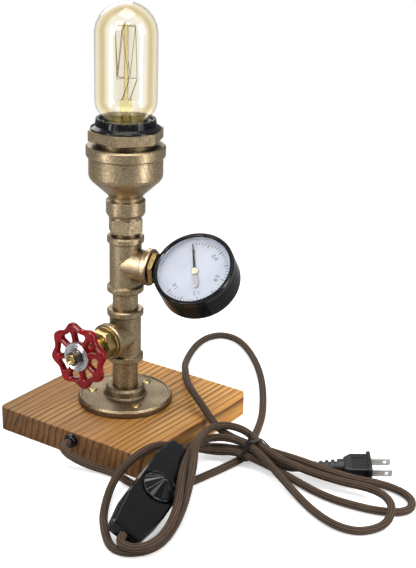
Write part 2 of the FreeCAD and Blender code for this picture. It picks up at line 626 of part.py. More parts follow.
def glass_outline(offset):
    """Half section of the bulb, pulled in by an offset: neck, shoulder, straight tube and dome."""
    z = BUSH_HIGH
    radius = BULB_RADIUS - offset
    dome = BULB_TOP_HEIGHT - BULB_RADIUS
    neck = BULB_NECK_RADIUS - offset
    foot = CAP_LOW + 5.0 - z
    knee = BULB_SHOULDER_HEIGHT
    points = [Vector(0, 0, foot + offset), Vector(neck, 0, foot + offset), Vector(neck, 0, 0.0),
              Vector(neck + 1.4, 0, 5.0)]
    shoulder = Part.BezierCurve()
    shoulder.setPoles([points[3], Vector(neck + 5.4, 0, 12.0), Vector(radius, 0, 11.0), Vector(radius, 0, knee)])
    centre = Vector(0, 0, dome)
    half = math.sqrt(0.5) * radius
    arc = Part.Arc(Vector(radius, 0, dome), Vector(half, 0, dome + half), Vector(0, 0, dome + radius))
    edges = [Part.makeLine(points[0], points[1]), Part.makeLine(points[1], points[2]),
             Part.makeLine(points[2], points[3]), shoulder.toShape(),
             Part.makeLine(Vector(radius, 0, knee), Vector(radius, 0, centre.z)), arc.toShape(),
             Part.makeLine(Vector(0, 0, dome + radius), points[0])]
    face = Part.Face(Part.Wire(edges))
    solid = face.revolve(Vector(0, 0, 0), Vector(0, 0, 1), 360)
    solid.translate(Vector(0, 0, z))
    return solid


def bulb_glass():
    return glass_outline(0.0).cut(glass_outline(BULB_WALL))


def glass_stem():
    """Flare, pinch and centre rod that carry the filament."""
    z = BUSH_HIGH
    rim = BULB_NECK_RADIUS - BULB_WALL - STEM_FLARE_GAP
    flare = revolved([(0, z - 2.0), (rim, z - 2.0), (rim, z - 1.0), (4.2, z + 6.0),
                      (3.6, z + PINCH_LOW + 0.5), (0, z + PINCH_LOW + 0.5)])
    pinch = box(PINCH_WIDTH, PINCH_DEPTH, PINCH_HIGH - PINCH_LOW, Vector(0, 0, z + PINCH_LOW))
    pinch.rotate(Vector(0, 0, 0), Vector(0, 0, 1), STEM_TURN)
    rod = cylinder(STEM_ROD_RADIUS, z + PINCH_HIGH - 0.5, z + SUPPORT_HIGH + 2.0)
    return flare.fuse(pinch).fuse(rod)




def thin_bar(start, end, radius):
    axis = end.sub(start)
    return Part.makeCylinder(radius, axis.Length, start, axis)


def support_points(height, count, first):
    points = []
    for k in range(count):
        x, y = polar(SUPPORT_REACH, first + 360.0 * k / count)
        points.append(Vector(x, y, BUSH_HIGH + height))
    return points


def support_wires():
    """Two stars of wire that stand out of the glass rod and hold the filament's bends."""
    wires = []
    for height, first in ((SUPPORT_LOW, STEM_TURN), (SUPPORT_HIGH, STEM_TURN + 180.0 / SUPPORT_COUNT)):
        for tip in support_points(height, SUPPORT_COUNT, first):
            root = Vector(tip.x, tip.y, 0).normalize().multiply(STEM_ROD_RADIUS)
            wires.append(thin_bar(Vector(root.x, root.y, tip.z), tip, SUPPORT_WIRE_RADIUS))
    return Part.makeCompound(wires)


def filament():
    """Squirrel-cage filament: straight strands up and down between the two stars."""
    reach = SUPPORT_WIRE_RADIUS + FILAMENT_RADIUS + 0.05
    low = support_points(SUPPORT_LOW + reach, SUPPORT_COUNT, STEM_TURN)
    high = support_points(SUPPORT_HIGH - reach, SUPPORT_COUNT, STEM_TURN + 180.0 / SUPPORT_COUNT)
    chain = []
    for k in range(SUPPORT_COUNT):
        chain.append(low[k])
        if k < SUPPORT_COUNT - 1:
            chain.append(high[k])
    shape = Part.makeSphere(FILAMENT_RADIUS, chain[0])
    for start, end in zip(chain, chain[1:]):
        shape = shape.fuse(thin_bar(start, end, FILAMENT_RADIUS))
        shape = shape.fuse(Part.makeSphere(FILAMENT_RADIUS, end))
    return shape


def lead_wires():
    """The two wires from the pinch to the filament's ends."""
    ends = support_points(SUPPORT_LOW - 0.9, SUPPORT_COUNT, STEM_TURN)
    wires = []
    for side, tip in ((1.0, ends[0]), (-1.0, ends[-1])):
        x, y = polar(side * PINCH_WIDTH * 0.32, STEM_TURN)
        foot = Vector(x, y, BUSH_HIGH + PINCH_HIGH + LEAD_WIRE_RADIUS * 0.6)
        wires.append(thin_bar(foot, tip, LEAD_WIRE_RADIUS))
    return Part.makeCompound(wires)


# ================================================================ tap
TAP_FRAME = branch_frame(TAP_HEIGHT, 180.0)
BONNET_LOW = TEE_REACH
BONNET_HEX = BONNET_LOW + BONNET_RING_LENGTH
BONNET_NECK = BONNET_HEX + BONNET_HEX_LENGTH
BONNET_HIGH = BONNET_NECK + BONNET_NECK_LENGTH
PACKING_NUT_HIGH = BONNET_HIGH + PACKING_NUT_LENGTH
WHEEL_FRONT = WHEEL_DISTANCE + WHEEL_THICKNESS / 2
NUT_LOW = WHEEL_FRONT + WASHER_THICKNESS


def tap_bonnet():
    """Screwed into the tee's branch; a hexagon outside and a chamber for the disc inside."""
    low = BONNET_LOW - THREAD_DEPTH
    shape = cylinder(PIPE_RADIUS, low, BONNET_LOW)
    shape = shape.fuse(cylinder(BONNET_RING_RADIUS, BONNET_LOW, BONNET_HEX))
    shape = shape.fuse(hexagon(BONNET_FLATS, BONNET_HEX - 0.2, BONNET_NECK, 30.0, 1.4))
    shape = shape.fuse(cylinder(BONNET_NECK_RADIUS, BONNET_NECK - 0.5, BONNET_HIGH))
    chamber = cylinder(TAP_DISC_RADIUS + 0.6, low - 1.0, BONNET_HEX + 2.0)
    bore = cylinder(TAP_STEM_RADIUS + STEM_RUN_CLEARANCE, low, BONNET_HIGH + 1.0)
    return shape.cut(chamber).cut(bore)


def packing_nut():
    shape = hexagon(PACKING_NUT_FLATS, BONNET_HIGH, PACKING_NUT_HIGH, 0.0, 1.0)
    bore = TAP_STEM_RADIUS + STEM_RUN_CLEARANCE
    return shape.cut(cylinder(bore, BONNET_HIGH - 1.0, PACKING_NUT_HIGH + 1.0))


def tap_disc():
    """Washer plate on the inner end of the stem; it slides without turning."""
    low = BONNET_LOW - THREAD_DEPTH + 1.0
    disc = cylinder(TAP_DISC_RADIUS, low, low + TAP_DISC_THICKNESS)
    return disc


def tap_stem():
    """Stem with a cupped brass end in front of the wheel's nut."""
    low = BONNET_LOW - THREAD_DEPTH + 1.0 + TAP_DISC_THICKNESS + 0.05
    nut_top = NUT_LOW + WHEEL_NUT_LENGTH
    shape = cylinder(TAP_STEM_RADIUS, low, nut_top)
    shape = shape.fuse(cylinder(STEM_END_RADIUS, nut_top, nut_top + STEM_END_LENGTH))
    cup = Part.makeCone(2.0, STEM_END_RADIUS - 0.8, 1.6, Vector(0, 0, nut_top + STEM_END_LENGTH - 1.6))
    return shape.cut(cup)


def wheel_outline():
    """Scalloped outline: a tip at each spoke and a hollow over each window."""
    points = []
    per_petal = 8
    for k in range(WHEEL_PETALS * per_petal):
        angle = wheel_angle(0.0) + 360.0 * k / (WHEEL_PETALS * per_petal)
        wave = WHEEL_WAVE * math.cos(math.radians(360.0 * k / per_petal))
        x, y = polar(WHEEL_RADIUS + wave, angle)
        points.append(Vector(x, y, 0))
    curve = Part.BSplineCurve()
    curve.interpolate(Points=points, PeriodicFlag=True)
    return Part.Face(Part.Wire([curve.toShape()]))


def wheel_angle(index):
    """Angle of a spoke in the tap's frame, where local X is up and angles run anticlockwise from outside."""
    return -WHEEL_SPOKE_ANGLE - 360.0 / WHEEL_PETALS * index


def wheel_window():
    """One opening between two spokes, on the local X axis, with rounded corners and a hollow outer side."""
    half_step = math.radians(180.0 / WHEEL_PETALS)
    inner = WHEEL_WINDOW_INNER
    outer = WHEEL_WINDOW_OUTER
    shift = WHEEL_SPOKE_WIDTH / 2
    corners = []
    for radius, sign in ((inner, -1), (outer, -1), (outer, 1), (inner, 1)):
        spread = half_step - math.asin(shift / radius)
        corners.append(Vector(radius * math.cos(spread), sign * radius * math.sin(spread), 0))
    middle_out = Vector(WHEEL_RADIUS - WHEEL_WAVE - WHEEL_RIM_WIDTH, 0, 0)
    middle_in = Vector(inner, 0, 0)
    edges = [Part.makeLine(corners[0], corners[1]), Part.Arc(corners[1], middle_out, corners[2]).toShape(),
             Part.makeLine(corners[2], corners[3]), Part.Arc(corners[3], middle_in, corners[0]).toShape()]
    window = Part.Face(Part.Wire(edges)).extrude(Vector(0, 0, WHEEL_THICKNESS + 2.0))
    upright = [e for e in window.Edges if abs(e.BoundBox.ZLength - WHEEL_THICKNESS - 2.0) < 1e-6]
    window = window.makeFillet(WHEEL_WINDOW_CORNER, upright)
    window.translate(Vector(0, 0, -1.0))
    return window


def handwheel():
    back = WHEEL_DISTANCE - WHEEL_THICKNESS / 2
    wheel = wheel_outline().extrude(Vector(0, 0, WHEEL_THICKNESS))
    window = wheel_window()
    for k in range(WHEEL_PETALS):
        cutter = window.copy()
        cutter.rotate(Vector(0, 0, 0), Vector(0, 0, 1), wheel_angle(k) + 180.0 / WHEEL_PETALS)
        wheel = wheel.cut(cutter)
    flat = [e for e in wheel.Edges if e.BoundBox.ZLength < 1e-6]
    wheel = wheel.makeFillet(WHEEL_EDGE_RADIUS, flat)
    wheel.translate(Vector(0, 0, back))
    low = Vector(0, 0, back - WHEEL_HUB_BACK)
    hub = Part.makeCone(WHEEL_HUB_RADIUS, WHEEL_HUB_FRONT_RADIUS, WHEEL_HUB_BACK, low)
    wheel = wheel.fuse(hub)
    return wheel.cut(cylinder(TAP_STEM_RADIUS + 0.05, back - WHEEL_HUB_BACK - 1.0, WHEEL_FRONT + 1.0))


def wheel_washer():
    """Ridged bright disc between the wheel and its nut."""
    low = WHEEL_FRONT
    high = low + WASHER_THICKNESS
    bore = TAP_STEM_RADIUS + 0.1
    profile = [(bore, low), (WASHER_RADIUS, low), (WASHER_RADIUS, high - 0.4), (WASHER_RADIUS - 0.6, high),
               (WASHER_RADIUS - 1.6, high), (WASHER_RADIUS - 2.2, high - 0.6), (WASHER_RADIUS - 2.9, high - 0.6),
               (WASHER_RADIUS - 3.6, high), (WASHER_RADIUS - 4.4, high), (WASHER_RADIUS - 5.0, high - 0.5),
               (bore, high - 0.5)]
    return revolved(profile)


def wheel_nut():
    low = NUT_LOW
    shape = hexagon(WHEEL_NUT_FLATS, low, low + WHEEL_NUT_LENGTH, 10.0, 0.7)
    return shape.cut(cylinder(TAP_STEM_RADIUS + 0.05, low - 1.0, low + WHEEL_NUT_LENGTH + 1.0))


# ================================================================ gauge
def gauge_frame():
    """Local Z faces the reader, local Y points away from the column, origin on the front rim's plane."""
    x, y = polar(1.0, GAUGE_AZIMUTH)
    outwards = Vector(x, y, 0)
    tilt = math.radians(GAUGE_TILT)
    side = outwards.cross(Vector(0, 0, 1))
    normal = Vector(0, 0, 1).multiply(math.cos(tilt)).add(side.multiply(math.sin(tilt)))
    origin = Vector(0, 0, GAUGE_HEIGHT).add(Vector(outwards).multiply(GAUGE_AXIS_DISTANCE))
    origin = origin.add(Vector(normal).multiply(GAUGE_FRONT_OFFSET))
    return local_frame(origin, outwards.cross(normal), normal)


GAUGE_FRAME = gauge_frame()
STEM_FRAME = branch_frame(GAUGE_HEIGHT, GAUGE_AZIMUTH)
STEM_LEVEL = -GAUGE_FRONT_OFFSET
GEAR_DISTANCE = GEAR_MODULE * (PINION_TEETH + SECTOR_TEETH_FULL) / 2
GEAR_LOW = STEM_LEVEL - 1.0
SECTOR_PIVOT = Vector(0, -GEAR_DISTANCE, 0)
LINK_LEVEL = GEAR_LOW + GEAR_THICKNESS + LINK_GAP
PLATE_LOW = GEAR_LOW - PLATE_GAP - PLATE_THICKNESS
FRONT_PLATE_LOW = GEAR_LOW + GEAR_THICKNESS + PLATE_GAP
BLOCK_HIGH = PLATE_LOW - 0.1
BLOCK_LOW = BLOCK_HIGH - GAUGE_BLOCK_DEPTH
TUBE_LOW = BLOCK_LOW + 0.3


def gauge_bush():
    """Reducing bush in the tee's branch."""
    high = TEE_REACH + GAUGE_BUSH_GAP + GAUGE_BUSH_LENGTH
    shape = cylinder(PIPE_RADIUS, TEE_REACH - THREAD_DEPTH, TEE_REACH + GAUGE_BUSH_GAP + 0.5)
    shape = shape.fuse(hexagon(GAUGE_BUSH_FLATS, TEE_REACH + GAUGE_BUSH_GAP, high, 12.0, 1.0))
    return shape.cut(cylinder(GAUGE_STEM_RADIUS + THREAD_CLEARANCE, 0, high + 1.0))


def gauge_socket():
    """The gauge's own stem, and the block inside the case that carries tube and movement."""
    inside = GAUGE_AXIS_DISTANCE - GAUGE_RADIUS + GAUGE_WALL
    stem = cylinder(GAUGE_STEM_RADIUS, TEE_REACH - THREAD_DEPTH + 2.0, inside)
    stem = placed(stem.fuse(cylinder(GAUGE_NECK_RADIUS, inside - 1.0, inside + 3.0)), STEM_FRAME)
    low = -(GAUGE_RADIUS - GAUGE_WALL)
    half = GAUGE_BLOCK_WIDTH / 2
    seat_length = SECTOR_PIVOT.y + GAUGE_BLOCK_END - low
    seat = Part.makeBox(GAUGE_BLOCK_WIDTH, seat_length, GAUGE_BLOCK_DEPTH, Vector(-half, low, BLOCK_LOW))
    head_height = STEM_LEVEL + GAUGE_NECK_RADIUS + 0.3 - BLOCK_LOW
    head = Part.makeBox(GAUGE_BLOCK_WIDTH, GAUGE_BLOCK_HEAD, head_height, Vector(-half, low, BLOCK_LOW))
    room = cylinder(GAUGE_RADIUS - GAUGE_WALL - 0.3, -GAUGE_DEPTH, 0)
    block = placed(seat.fuse(head).common(room), GAUGE_FRAME)
    bore = placed(cylinder(1.5, TEE_REACH - THREAD_DEPTH, inside + 3.0), STEM_FRAME)
    return stem.fuse(block).cut(bore)


def gauge_case():
    """Pressed cup with a rounded back edge and a hole in its side for the stem."""
    back = -GAUGE_DEPTH
    front = -BEZEL_DEPTH - SEAM_GAP
    outer = cylinder(GAUGE_RADIUS, back, front)
    outer = outer.makeFillet(GAUGE_BACK_RADIUS, [e for e in outer.Edges if abs(e.BoundBox.ZMax - back) < 1e-6])
    inner_radius = GAUGE_RADIUS - GAUGE_WALL
    inner = cylinder(inner_radius, back + GAUGE_WALL, front + 1.0)
    edge = [e for e in inner.Edges if abs(e.BoundBox.ZMax - back - GAUGE_WALL) < 1e-6]
    inner = inner.makeFillet(GAUGE_BACK_RADIUS - GAUGE_WALL, edge)
    hole = placed(cylinder(GAUGE_STEM_RADIUS + 0.1, 0, GAUGE_AXIS_DISTANCE - GAUGE_RADIUS / 2),
                  GAUGE_FRAME.inverse().multiply(STEM_FRAME))
    return placed(outer.cut(inner).cut(hole), GAUGE_FRAME)


def gauge_bezel():
    front = 0.0
    low = -BEZEL_DEPTH
    profile = [(GAUGE_RADIUS, low), (GAUGE_RADIUS, front - 1.2), (GAUGE_RADIUS - 0.8, front),
               (BEZEL_OPENING + 0.8, front), (BEZEL_OPENING, front - 0.9), (BEZEL_OPENING, front - BEZEL_LIP),
               (GAUGE_RADIUS - GAUGE_WALL, front - BEZEL_LIP), (GAUGE_RADIUS - GAUGE_WALL, low)]
    return placed(revolved(profile), GAUGE_FRAME)


def gauge_window():
    high = -BEZEL_LIP
    return placed(cylinder(GAUGE_RADIUS - GAUGE_WALL - 0.3, high - WINDOW_THICKNESS, high), GAUGE_FRAME)


def gauge_dial():
    """Dial plate with a turned-up rim, as wide as the case lets it be."""
    radius = GAUGE_RADIUS - GAUGE_WALL - 0.4
    low = -DIAL_DEPTH - DIAL_THICKNESS
    plate = cylinder(radius, low, -DIAL_DEPTH)
    rim = ring(radius, radius - 0.8, low, -BEZEL_LIP - WINDOW_THICKNESS - 0.1)
    hole = cylinder(SPINDLE_RADIUS + 0.8, low - 1.0, 0)
    return placed(plate.fuse(rim).cut(hole), GAUGE_FRAME)


def clockwise(degrees):
    """Turn about the gauge's axis for a dial angle counted clockwise from the top."""
    return FreeCAD.Rotation(Vector(0, 0, 1), -degrees)


def gauge_pointer():
    """Tapered front, parallel tail and domed hub, standing at zero."""
    tip = POINTER_LENGTH
    tail = POINTER_TAIL
    outline = [(-0.35, tip), (0.35, tip), (1.1, 4.0), (2.2, 0.0), (2.2, -tail + 2.0), (1.2, -tail), (-1.2, -tail),
               (-2.2, -tail + 2.0), (-2.2, 0.0), (-1.1, 4.0)]
    blade = polygon_prism(outline, -POINTER_DEPTH - POINTER_THICKNESS, -POINTER_DEPTH)
    hub = revolved([(0, -POINTER_DEPTH - 0.6), (POINTER_HUB_RADIUS, -POINTER_DEPTH - 0.6),
                    (POINTER_HUB_RADIUS, -POINTER_DEPTH + 0.5), (POINTER_HUB_RADIUS - 0.8, -POINTER_DEPTH + 1.0),
                    (0, -POINTER_DEPTH + 1.2)])
    shape = blade.fuse(hub).cut(cylinder(SPINDLE_RADIUS, -40, -POINTER_DEPTH + 0.4))
    shape.rotate(Vector(0, 0, 0), Vector(0, 0, 1), -POINTER_ZERO)
    return placed(shape, GAUGE_FRAME)


def gear_outline(teeth, count, first_angle, step):
    """Tooth corners of a straight-flanked gear or sector, from one gap to the next."""
    pitch = GEAR_MODULE * teeth / 2
    tip = pitch + GEAR_MODULE * 0.8
    root = pitch - GEAR_MODULE * 1.3
    points = []
    for k in range(count):
        centre = first_angle + step * k
        for radius, part in ((root, -0.32), (tip, -0.11), (tip, 0.11), (root, 0.32)):
            points.append(polar(radius, centre + part * step))
    return points


def pointer_spindle():
    """Spindle with its pinion; a gap of the pinion faces the sector."""
    step = 360.0 / PINION_TEETH
    pinion = polygon_prism(gear_outline(PINION_TEETH, PINION_TEETH, -90.0 + step / 2, step), GEAR_LOW,
                           GEAR_LOW + GEAR_THICKNESS + 0.6)
    shaft = cylinder(SPINDLE_RADIUS - 0.01, PLATE_LOW + 0.1, -POINTER_DEPTH + 0.3)
    return placed(pinion.fuse(shaft), GAUGE_FRAME)


def sector_gear():
    """Toothed sector with a tail that the link pulls."""
    step = 360.0 / SECTOR_TEETH_FULL
    first = 90.0 - step * (SECTOR_TEETH - 1) / 2 - SECTOR_START
    teeth = gear_outline(SECTOR_TEETH_FULL, SECTOR_TEETH, first, step)
    arm_low = polar(2.4, first - 60.0)
    arm_high = polar(2.4, first + step * SECTOR_TEETH + 60.0)
    fan = polygon_prism([arm_low] + teeth + [arm_high], 0, GEAR_THICKNESS)
    boss = cylinder(2.6, 0, GEAR_THICKNESS)
    tail = Part.makeBox(SECTOR_TAIL, 2.4, GEAR_THICKNESS, Vector(-SECTOR_TAIL, -1.2, 0))
    tail = tail.fuse(Part.makeCylinder(1.4, GEAR_THICKNESS, Vector(-SECTOR_TAIL, 0, 0)))
    arbor = cylinder(SPINDLE_RADIUS, -PLATE_GAP - PLATE_THICKNESS + 0.1, GEAR_THICKNESS + PLATE_GAP + 0.8)
    shape = fan.fuse(boss).fuse(tail)
    shape = shape.cut(Part.makeCylinder(0.6, GEAR_THICKNESS + 2.0, Vector(-SECTOR_TAIL, 0, -1.0)))
    shape = shape.fuse(arbor)
    shape.translate(Vector(SECTOR_PIVOT.x, SECTOR_PIVOT.y, GEAR_LOW))
    return placed(shape, GAUGE_FRAME)


def tip_link():
    """Link from the sector's tail to the tube's tip, with its pin in the tail's hole."""
    start = Vector(SECTOR_PIVOT.x - SECTOR_TAIL, SECTOR_PIVOT.y, LINK_LEVEL)
    x, y = polar(TUBE_RADIUS, TUBE_END_ANGLE)
    end = Vector(x, y, LINK_LEVEL)
    along = end.sub(start)
    bar = Part.makeBox(along.Length, 1.8, LINK_THICKNESS, Vector(0, -0.9, 0))
    bar.rotate(Vector(0, 0, 0), Vector(0, 0, 1), math.degrees(math.atan2(along.y, along.x)))
    bar.translate(start)
    bar = bar.fuse(Part.makeCylinder(1.3, LINK_THICKNESS, start))
    pin = Part.makeCylinder(0.5, GEAR_THICKNESS + 0.3 + LINK_THICKNESS / 2, Vector(start.x, start.y, GEAR_LOW))
    return placed(bar.fuse(pin), GAUGE_FRAME)


def movement_plates():
    """Back and front plate of the movement on two pillars, with bearing holes for both shafts."""
    half = PLATE_WIDTH / 2
    low_end = SECTOR_PIVOT.y - 2.0
    high_end = 4.4
    outline = [(-half, low_end), (half, low_end), (half, high_end), (-half, high_end)]
    back = polygon_prism(outline, PLATE_LOW, PLATE_LOW + PLATE_THICKNESS)
    front = polygon_prism(outline, FRONT_PLATE_LOW, FRONT_PLATE_LOW + PLATE_THICKNESS)
    shape = back.fuse(front)
    for side in (-1.0, 1.0):
        pillar = cylinder(PILLAR_RADIUS, PLATE_LOW, FRONT_PLATE_LOW + PLATE_THICKNESS)
        pillar.translate(Vector(side * (half - PILLAR_RADIUS), high_end - PILLAR_RADIUS - 0.2, 0))
        shape = shape.fuse(pillar)
    for centre in (Vector(0, 0, 0), SECTOR_PIVOT):
        bearing = cylinder(SPINDLE_RADIUS + ARBOR_CLEARANCE, PLATE_LOW - 1.0, FRONT_PLATE_LOW + 2.0)
        bearing.translate(Vector(centre.x, centre.y, 0))
        shape = shape.cut(bearing)
    return placed(shape, GAUGE_FRAME)


def bourdon_tube():
    """Flattened tube bent most of the way round, closed by its tip."""
    block_side = GAUGE_BLOCK_WIDTH / 2 + 0.1
    start = -math.degrees(math.acos(block_side / (TUBE_RADIUS - TUBE_THICKNESS / 2)))
    sweep = TUBE_END_ANGLE - start
    low = TUBE_LOW
    section = Part.makePolygon([Vector(TUBE_RADIUS - TUBE_THICKNESS / 2, 0, low),
                                Vector(TUBE_RADIUS + TUBE_THICKNESS / 2, 0, low),
                                Vector(TUBE_RADIUS + TUBE_THICKNESS / 2, 0, low + TUBE_WIDTH),
                                Vector(TUBE_RADIUS - TUBE_THICKNESS / 2, 0, low + TUBE_WIDTH),
                                Vector(TUBE_RADIUS - TUBE_THICKNESS / 2, 0, low)])
    tube = Part.Face(section).revolve(Vector(0, 0, 0), Vector(0, 0, 1), sweep)
    tube.rotate(Vector(0, 0, 0), Vector(0, 0, 1), start)
    return placed(tube, GAUGE_FRAME)


# ================================================================ wires and leads
def bend(before, corner, after):
    """Arc that rounds one corner of a route, tangent to both runs, with its radius."""
    back = (before - corner)
    ahead = (after - corner)
    reach = BEND_SHARE * min(back.Length, ahead.Length)
    back.normalize()
    ahead.normalize()
    half_turn = (math.pi - back.getAngle(ahead)) / 2
    radius = reach / math.tan(half_turn)
    inward = (back + ahead).normalize()
    middle = corner + inward * (radius / math.cos(half_turn) - radius)
    return corner + back * reach, middle, corner + ahead * reach, radius


def route_wire(route):
    """Straight runs joined by tangent arcs, and the radii of the arcs."""
    points = [Vector(*point) for point in route]
    edges = []
    radii = []
    start = points[0]
    for before, corner, after in zip(points, points[1:], points[2:]):
        low, middle, high, radius = bend(before, corner, after)
        edges.append(Part.LineSegment(start, low).toShape())
        edges.append(Part.Arc(low, middle, high).toShape())
        radii.append(radius)
        start = high
    edges.append(Part.LineSegment(start, points[-1]).toShape())
    return Part.Wire(edges), radii


def swept_round(path, radius):
    """Round bar along a smooth path."""
    start = path.OrderedVertexes[0].Point
    ahead = path.OrderedEdges[0].tangentAt(path.OrderedEdges[0].FirstParameter)
    section = Part.Wire(Part.Circle(start, ahead, radius).toShape())
    return path.makePipeShell([section], True, True)


def lead(route, name):
    path, radii = route_wire(route)
    print(name, "bend radii", [round(radius, 1) for radius in radii], "tightest", round(min(radii), 2))
    tube = swept_round(path, CORD_RADIUS)
    expected = math.pi * CORD_RADIUS ** 2 * path.Length
    ratio = round(tube.Volume / expected, 5)
    print(name, "length", round(path.Length, 1), "volume against section by length", ratio)
    return tube


def cord_gland():
    """Collar on the board's left edge with a barrel in the hole and two holes for the wires."""
    edge = -BOARD_SIDE / 2
    barrel = Part.makeCylinder(WIRE_HOLE_RADIUS - GLAND_CLEARANCE, GLAND_BARREL + 0.5,
                               Vector(edge - 0.5, WIRE_HOLE_Y, WIRE_HOLE_HEIGHT), Vector(1, 0, 0))
    outer_end = Vector(edge - GLAND_REACH, WIRE_HOLE_Y, WIRE_HOLE_HEIGHT)
    gland = Part.makeCylinder(GLAND_RADIUS, GLAND_REACH, outer_end, Vector(1, 0, 0))
    gland = gland.makeFillet(GLAND_REACH / 4, [gland.Edges[0], gland.Edges[2]])
    gland = gland.fuse(barrel)
    for side in (-1, 1):
        centre = Vector(edge - GLAND_REACH - 1.0, WIRE_HOLE_Y, WIRE_HOLE_HEIGHT + side * WIRE_SPACING / 2)
        length = GLAND_REACH + GLAND_BARREL + 2.0
        gland = gland.cut(Part.makeCylinder(WIRE_RADIUS, length, centre, Vector(1, 0, 0)))
    return gland


def internal_wires():
    """Two insulated wires from the gland through the board and up the pipes to the lampholder."""
    wires = []
    for side in (-1, 1):
        level = WIRE_HOLE_HEIGHT + side * WIRE_SPACING / 2
        rise_x = -side * WIRE_SPACING / 2
        start = Vector(-BOARD_SIDE / 2 - GLAND_REACH, WIRE_HOLE_Y, level)
        low = Vector(rise_x - WIRE_BEND_RADIUS, WIRE_HOLE_Y, level)
        high = Vector(rise_x, WIRE_HOLE_Y, level + WIRE_BEND_RADIUS)
        turn = WIRE_BEND_RADIUS * (1 - math.sqrt(0.5))
        middle = Vector(rise_x - turn, WIRE_HOLE_Y, level + turn)
        top = Vector(rise_x, WIRE_HOLE_Y, HOLDER_LOW)
        path = Part.Wire([Part.LineSegment(start, low).toShape(), Part.Arc(low, middle, high).toShape(),
                          Part.LineSegment(high, top).toShape()])
        wires.append(swept_round(path, WIRE_RADIUS))
    return Part.makeCompound(wires)


# ================================================================ tie
def left_turn(first, second, third):
    return (second[0] - first[0]) * (third[1] - first[1]) - (second[1] - first[1]) * (third[0] - first[0]) > 0


def hull(points):
    """Outline round a set of points, anticlockwise."""
    outline = []
    for ordered in (sorted(points), sorted(points, reverse=True)):
        chain = []
        for point in ordered:
            while len(chain) > 1 and not left_turn(chain[-2], chain[-1], point):
                chain.pop()
            chain.append(point)
        outline.extend(chain[:-1])
    return outline


def tie_frame():
    """Local X runs across the held strands, local Y up and local Z along them."""
    across = Vector(-TIE_DIRECTION.y, TIE_DIRECTION.x, 0)
    return local_frame(TIE_PLACE, across, TIE_DIRECTION)


def held_strands():
    """Where the held strands cross the tie's plane, as local (x, y) pairs."""
    frame = tie_frame()
    corner = Vector(-TIE_REACH, -TIE_REACH, 0)
    plane = placed(Part.makePlane(2 * TIE_REACH, 3 * TIE_REACH, corner), frame)
    places = []
    for route in (LAMP_ROUTE, PLUG_ROUTE):
        path, radii = route_wire(route)
        crossing = path.section(plane)
        for vertex in crossing.Vertexes:
            local = frame.inverse().multVec(vertex.Point)
            places.append((local.x, local.y))
    return places


def cord_tie():
    """Strap round the crossing strands, with its head and the cut end of the strap on top."""
    corners = [Vector(x, y, -TIE_WIDTH / 2) for x, y in hull(held_strands())]
    corners.append(corners[0])
    core = Part.Face(Part.makePolygon(corners))
    inner = core.makeOffset2D(CORD_RADIUS + TIE_SLACK)
    outer = core.makeOffset2D(CORD_RADIUS + TIE_SLACK + TIE_THICKNESS)
    along = Vector(0, 0, TIE_WIDTH)
    band = outer.extrude(along).cut(inner.extrude(along))
    top = inner.BoundBox.YMax
    level = top + TIE_HEAD / 2 - TIE_HEAD_DROP
    head = box(TIE_HEAD, TIE_HEAD, TIE_WIDTH, Vector(TIE_HEAD_SIDE, level, -TIE_WIDTH / 2))
    tail_middle = Vector(TIE_HEAD_SIDE, level + TIE_TAIL / 2, -TIE_TAIL_WIDTH / 2)
    tail = box(TIE_THICKNESS, TIE_TAIL, TIE_TAIL_WIDTH, tail_middle)
    strap = band.fuse([head.cut(inner.extrude(along)), tail]).removeSplitter()
    return placed(strap, tie_frame())


# ================================================================ dimmer
DIMMER_FRAME = local_frame(DIMMER_CENTRE, DIMMER_LONG_AXIS, DIMMER_NORMAL)
CIRCUIT_TOP = DIMMER_WALL + CIRCUIT_STANDOFF + CIRCUIT_THICKNESS
RECESS_FLOOR = DIMMER_HEIGHT - KNOB_RECESS_DEPTH
PAD_LOW = RECESS_FLOOR - DIMMER_WALL


def dimmer_hull(inset):
    """The dimmer's outer form, or the same form drawn in by a wall."""
    long_half = DIMMER_LENGTH / 2 - inset
    flat_half = DIMMER_FLAT_LENGTH / 2
    side = [(-long_half, inset), (long_half, inset), (long_half, DIMMER_END_HEIGHT - inset),
            (flat_half, DIMMER_HEIGHT - inset), (-flat_half, DIMMER_HEIGHT - inset),
            (-long_half, DIMMER_END_HEIGHT - inset)]
    wide = DIMMER_WIDTH / 2 - inset
    end = DIMMER_END_WIDTH / 2 - inset
    plan = [(-long_half, -end), (-flat_half, -wide), (flat_half, -wide), (long_half, -end),
            (long_half, end), (flat_half, wide), (-flat_half, wide), (-long_half, end)]
    body = polygon_prism(side, -DIMMER_WIDTH, DIMMER_WIDTH)
    body.rotate(Vector(0, 0, 0), Vector(1, 0, 0), 90)
    return body.common(polygon_prism(plan, -1.0, DIMMER_HEIGHT + 1.0))


def dimmer_outside():
    body = dimmer_hull(0.0)
    raised = [edge for edge in body.Edges if edge.BoundBox.ZMax > 0.1]
    return body.makeChamfer(DIMMER_BEVEL, raised)


def at(x, y, shape):
    moved = shape.copy()
    moved.translate(Vector(x, y, 0))
    return moved


def case_screw_places():
    return [(side * CASE_SCREW_X, side * CASE_SCREW_Y) for side in (-1, 1)]


def dimmer_slab(low, high):
    return box(2 * DIMMER_LENGTH, 2 * DIMMER_WIDTH, high - low, Vector(0, 0, low))


def inlet_holes():
    start = Vector(-DIMMER_LENGTH, 0, DIMMER_INLET_HEIGHT)
    return Part.makeCylinder(CORD_RADIUS + GLAND_CLEARANCE, 2 * DIMMER_LENGTH, start, Vector(1, 0, 0))


